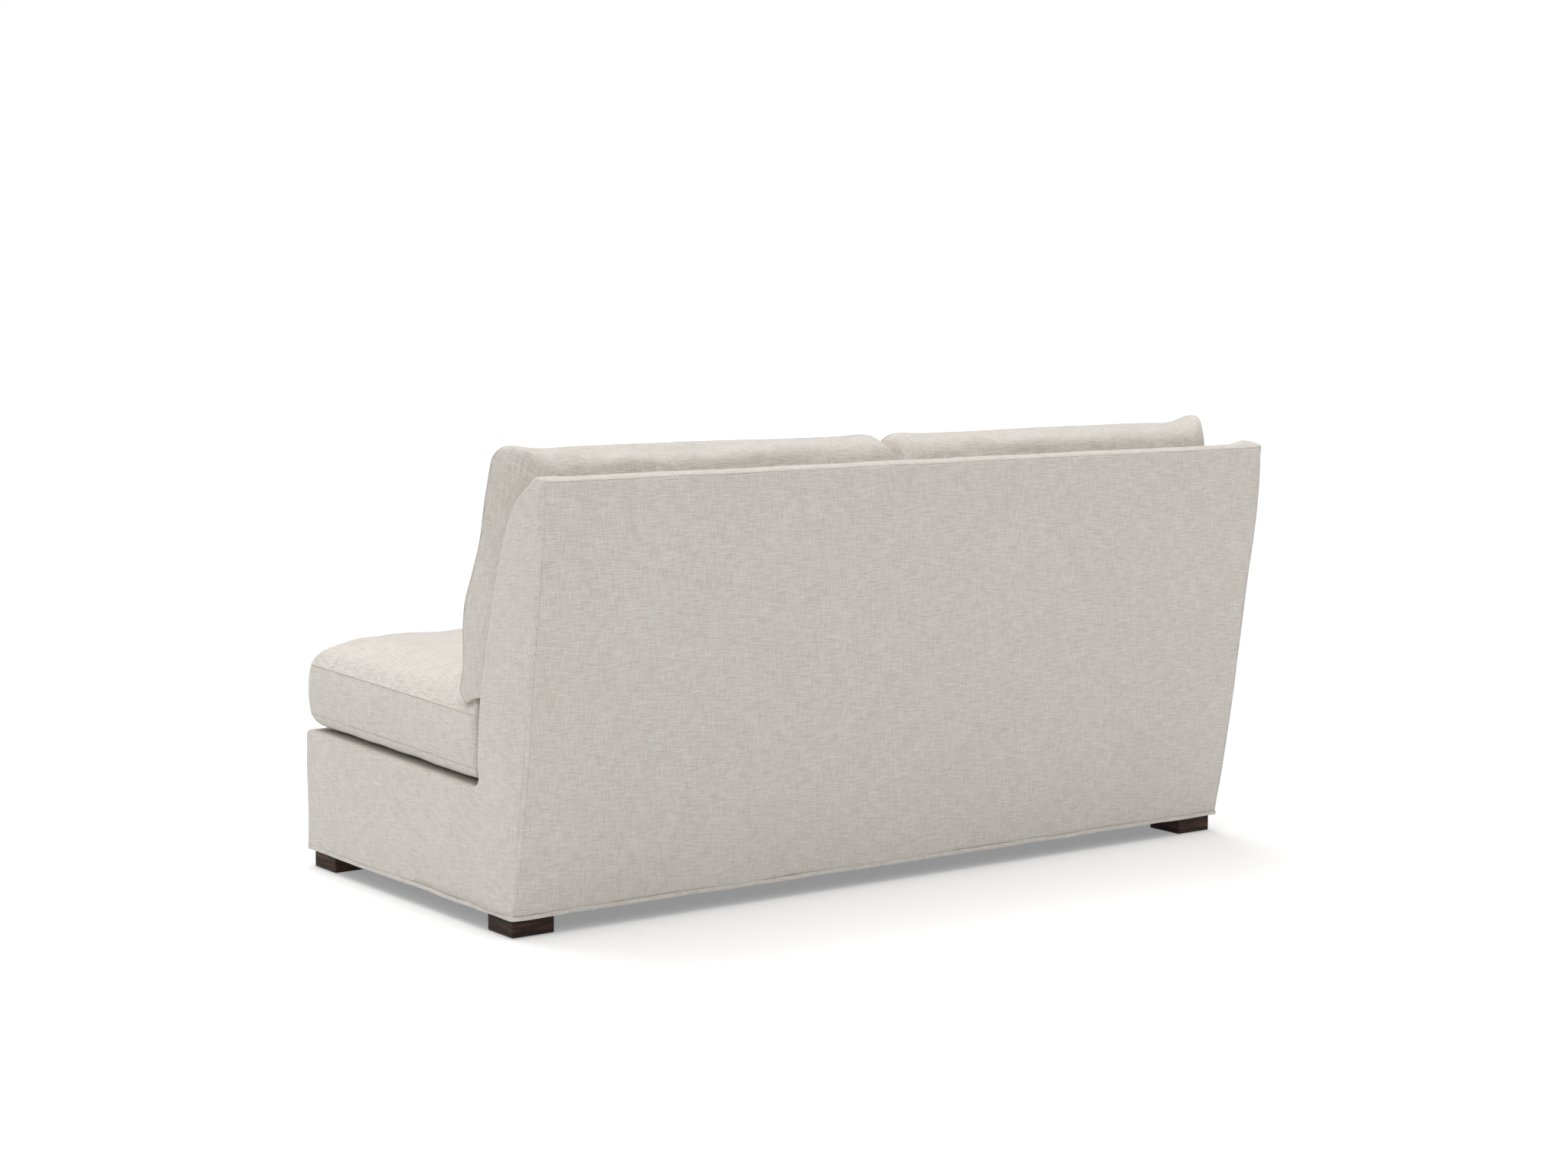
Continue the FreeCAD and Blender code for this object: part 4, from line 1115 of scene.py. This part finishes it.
def striped(name, a, b, axis, pitch):
    """Woven tape: ribs along its length, fine picks across."""
    m = Nodes(name)
    at = m.place()
    w = m.new("ShaderNodeTexWave", wave_type="BANDS", bands_direction=axis)
    w.inputs["Scale"].default_value = 2 * math.pi / (20 * pitch)
    w.inputs["Distortion"].default_value = 0.6
    w.inputs["Detail"].default_value = 1.0
    m.link(at, w.inputs["Vector"])
    n = m.noise(at, 900.0, 2.0)
    f = m.math("ADD", m.math("MULTIPLY", w.outputs["Fac"], 0.7), m.math("MULTIPLY", n, 0.3))
    m.link(m.mix(f, a, b), m.shader.inputs["Base Color"])
    m.bump(f, 0.5, 0.0004)
    m.set(Roughness=0.85, Specular_IOR_Level=0.25)
    return m.mat


cloth_mat = linen("linen_cloth")
looks = {
    "linen": cloth_mat,
    "foot_wood": wood("dark_stained_wood", (0.011, 0.0058, 0.0046), (0.030, 0.0165, 0.0128), (0.120, 0.060, 0.040), (16.0, 16.0, 330.0), 0.60, 0.0),
    "frame_wood": wood("plain_timber", (0.42, 0.27, 0.14), (0.56, 0.39, 0.22), (0.70, 0.53, 0.33), (9.0, 60.0, 60.0), 0.6),
    "spring_steel": metal("spring_wire", (0.20, 0.19, 0.18), (0.34, 0.33, 0.32), 0.38),
    "zinc_steel": metal("zinc_plate", (0.55, 0.56, 0.58), (0.72, 0.73, 0.74), 0.32),
    "zip_metal": metal("zip_nickel", (0.62, 0.60, 0.56), (0.78, 0.76, 0.72), 0.25),
    "clip_plastic": fibrous("clip_nylon", (0.70, 0.69, 0.65), (0.78, 0.77, 0.73), (150, 150, 150), 0.5, 0.1),
    "glide_plastic": fibrous("glide_nylon", (0.03, 0.028, 0.026), (0.06, 0.056, 0.052), (200, 200, 200), 0.5, 0.1),
    "wadding": fibrous("polyester_wadding", (0.78, 0.78, 0.76), (0.92, 0.92, 0.91), (90, 90, 300)),
    "webbing": striped("elastic_webbing", (0.06, 0.055, 0.05), (0.16, 0.15, 0.14), "X", 0.004),
    "foam": fibrous("cushion_foam", (0.74, 0.66, 0.42), (0.86, 0.79, 0.56), (420, 420, 420), 0.95, 0.6),
    "dust_cloth": fibrous("dust_cloth", (0.020, 0.020, 0.021), (0.045, 0.045, 0.047), (260, 260, 260), 0.9, 0.4),
    "zip_tape": striped("zip_tape_cloth", (0.52, 0.48, 0.42), (0.72, 0.68, 0.62), "X", 0.0012),
}
for ob in list(body.values()) + list(soft.values()):
    ob.data.materials.clear()
    ob.data.materials.append(cloth_mat)

slot_of = {row["node"]: row["material_slot"] for row in frame["record"]["subparts"]}
for n, ob in frame["nodes"].items():
    mat = looks[slot_of[n]]
    if ob.data.materials:
        for i in range(len(ob.data.materials)):
            ob.data.materials[i] = mat
    else:
        ob.data.materials.append(mat)

# ------------------------------------------------------------------ floor, light and camera
floor = mesh_object("floor", [(-30000, -30000, 0), (30000, -30000, 0), (30000, 30000, 0), (-30000, 30000, 0)], [(0, 1, 2, 3)])
fl = Nodes("pale_floor")
fl.link(fl.mix(fl.noise(fl.place(), 3.0, 2.0), (0.715, 0.715, 0.715), (0.725, 0.725, 0.725)), fl.shader.inputs["Base Color"])
# painted light: the floor glows faintly (emission strength 0.28), so the shadow under the body stays pale and the glow
# also lights the body's underside
fl.set(Roughness=0.8, Specular_IOR_Level=0.0, Emission_Color=(1.0, 1.0, 1.0, 1.0), Emission_Strength=0.28)
floor.data.materials.append(fl.mat)

world = bpy.data.worlds.new("studio")
scene.world = world
world.use_nodes = True
wt = world.node_tree
wt.nodes.clear()
wo = wt.nodes.new("ShaderNodeOutputWorld")
soft_bg = wt.nodes.new("ShaderNodeBackground")
soft_bg.inputs["Color"].default_value = (1.0, 1.0, 1.0, 1.0)
soft_bg.inputs["Strength"].default_value = 0.12
seen_bg = wt.nodes.new("ShaderNodeBackground")
seen_bg.inputs["Color"].default_value = (1.0, 1.0, 1.0, 1.0)
seen_bg.inputs["Strength"].default_value = 1.0
ray = wt.nodes.new("ShaderNodeLightPath")
pick = wt.nodes.new("ShaderNodeMixShader")
wt.links.new(ray.outputs["Is Camera Ray"], pick.inputs[0])
wt.links.new(soft_bg.outputs[0], pick.inputs[1])
wt.links.new(seen_bg.outputs[0], pick.inputs[2])
wt.links.new(pick.outputs[0], wo.inputs[0])


def sun(name, direction, strength, angle):
    d = bpy.data.lights.new(name, "SUN")
    d.energy = strength
    d.angle = math.radians(angle)
    ob = bpy.data.objects.new(name, d)
    ob.rotation_euler = Vector(direction).to_track_quat("-Z", "Y").to_euler()
    scene.collection.objects.link(ob)
    return ob


sun("overhead_soft", (0.0, 0.0, -1.0), 1.46, 55)
sun("rear_soft", (0.0, -0.7, -1.0), 0.78, 55)
sun("front_soft", (0.0, 0.7, -1.0), 1.36, 55)
sun("left_soft", (-0.7, 0.0, -1.0), 0.36, 55)
sun("left_low_soft", (-2.1, 0.0, -1.0), 0.16, 55)

cam = bpy.data.cameras.new("camera")
cam.lens = 65.322
cam.sensor_width = 36.0
cam.sensor_fit = "HORIZONTAL"
cam.clip_end = 200.0
eye = bpy.data.objects.new("camera", cam)
scene.collection.objects.link(eye)
az, el, roll = math.radians(143.961), math.radians(6.361), math.radians(0.097)
backward = Vector((math.sin(az) * math.cos(el), -math.cos(az) * math.cos(el), math.sin(el)))
right = Vector((math.cos(az), math.sin(az), 0.0))
up = backward.cross(right)
right, up = right * math.cos(roll) + up * math.sin(roll), up * math.cos(roll) - right * math.sin(roll)
eye.matrix_world = Matrix((
    (right.x, up.x, backward.x, 3.31534188), (right.y, up.y, backward.y, 4.52611904), (right.z, up.z, backward.z, 1.1577699), (0, 0, 0, 1)))
scene.camera = eye

bpy.context.view_layer.update()
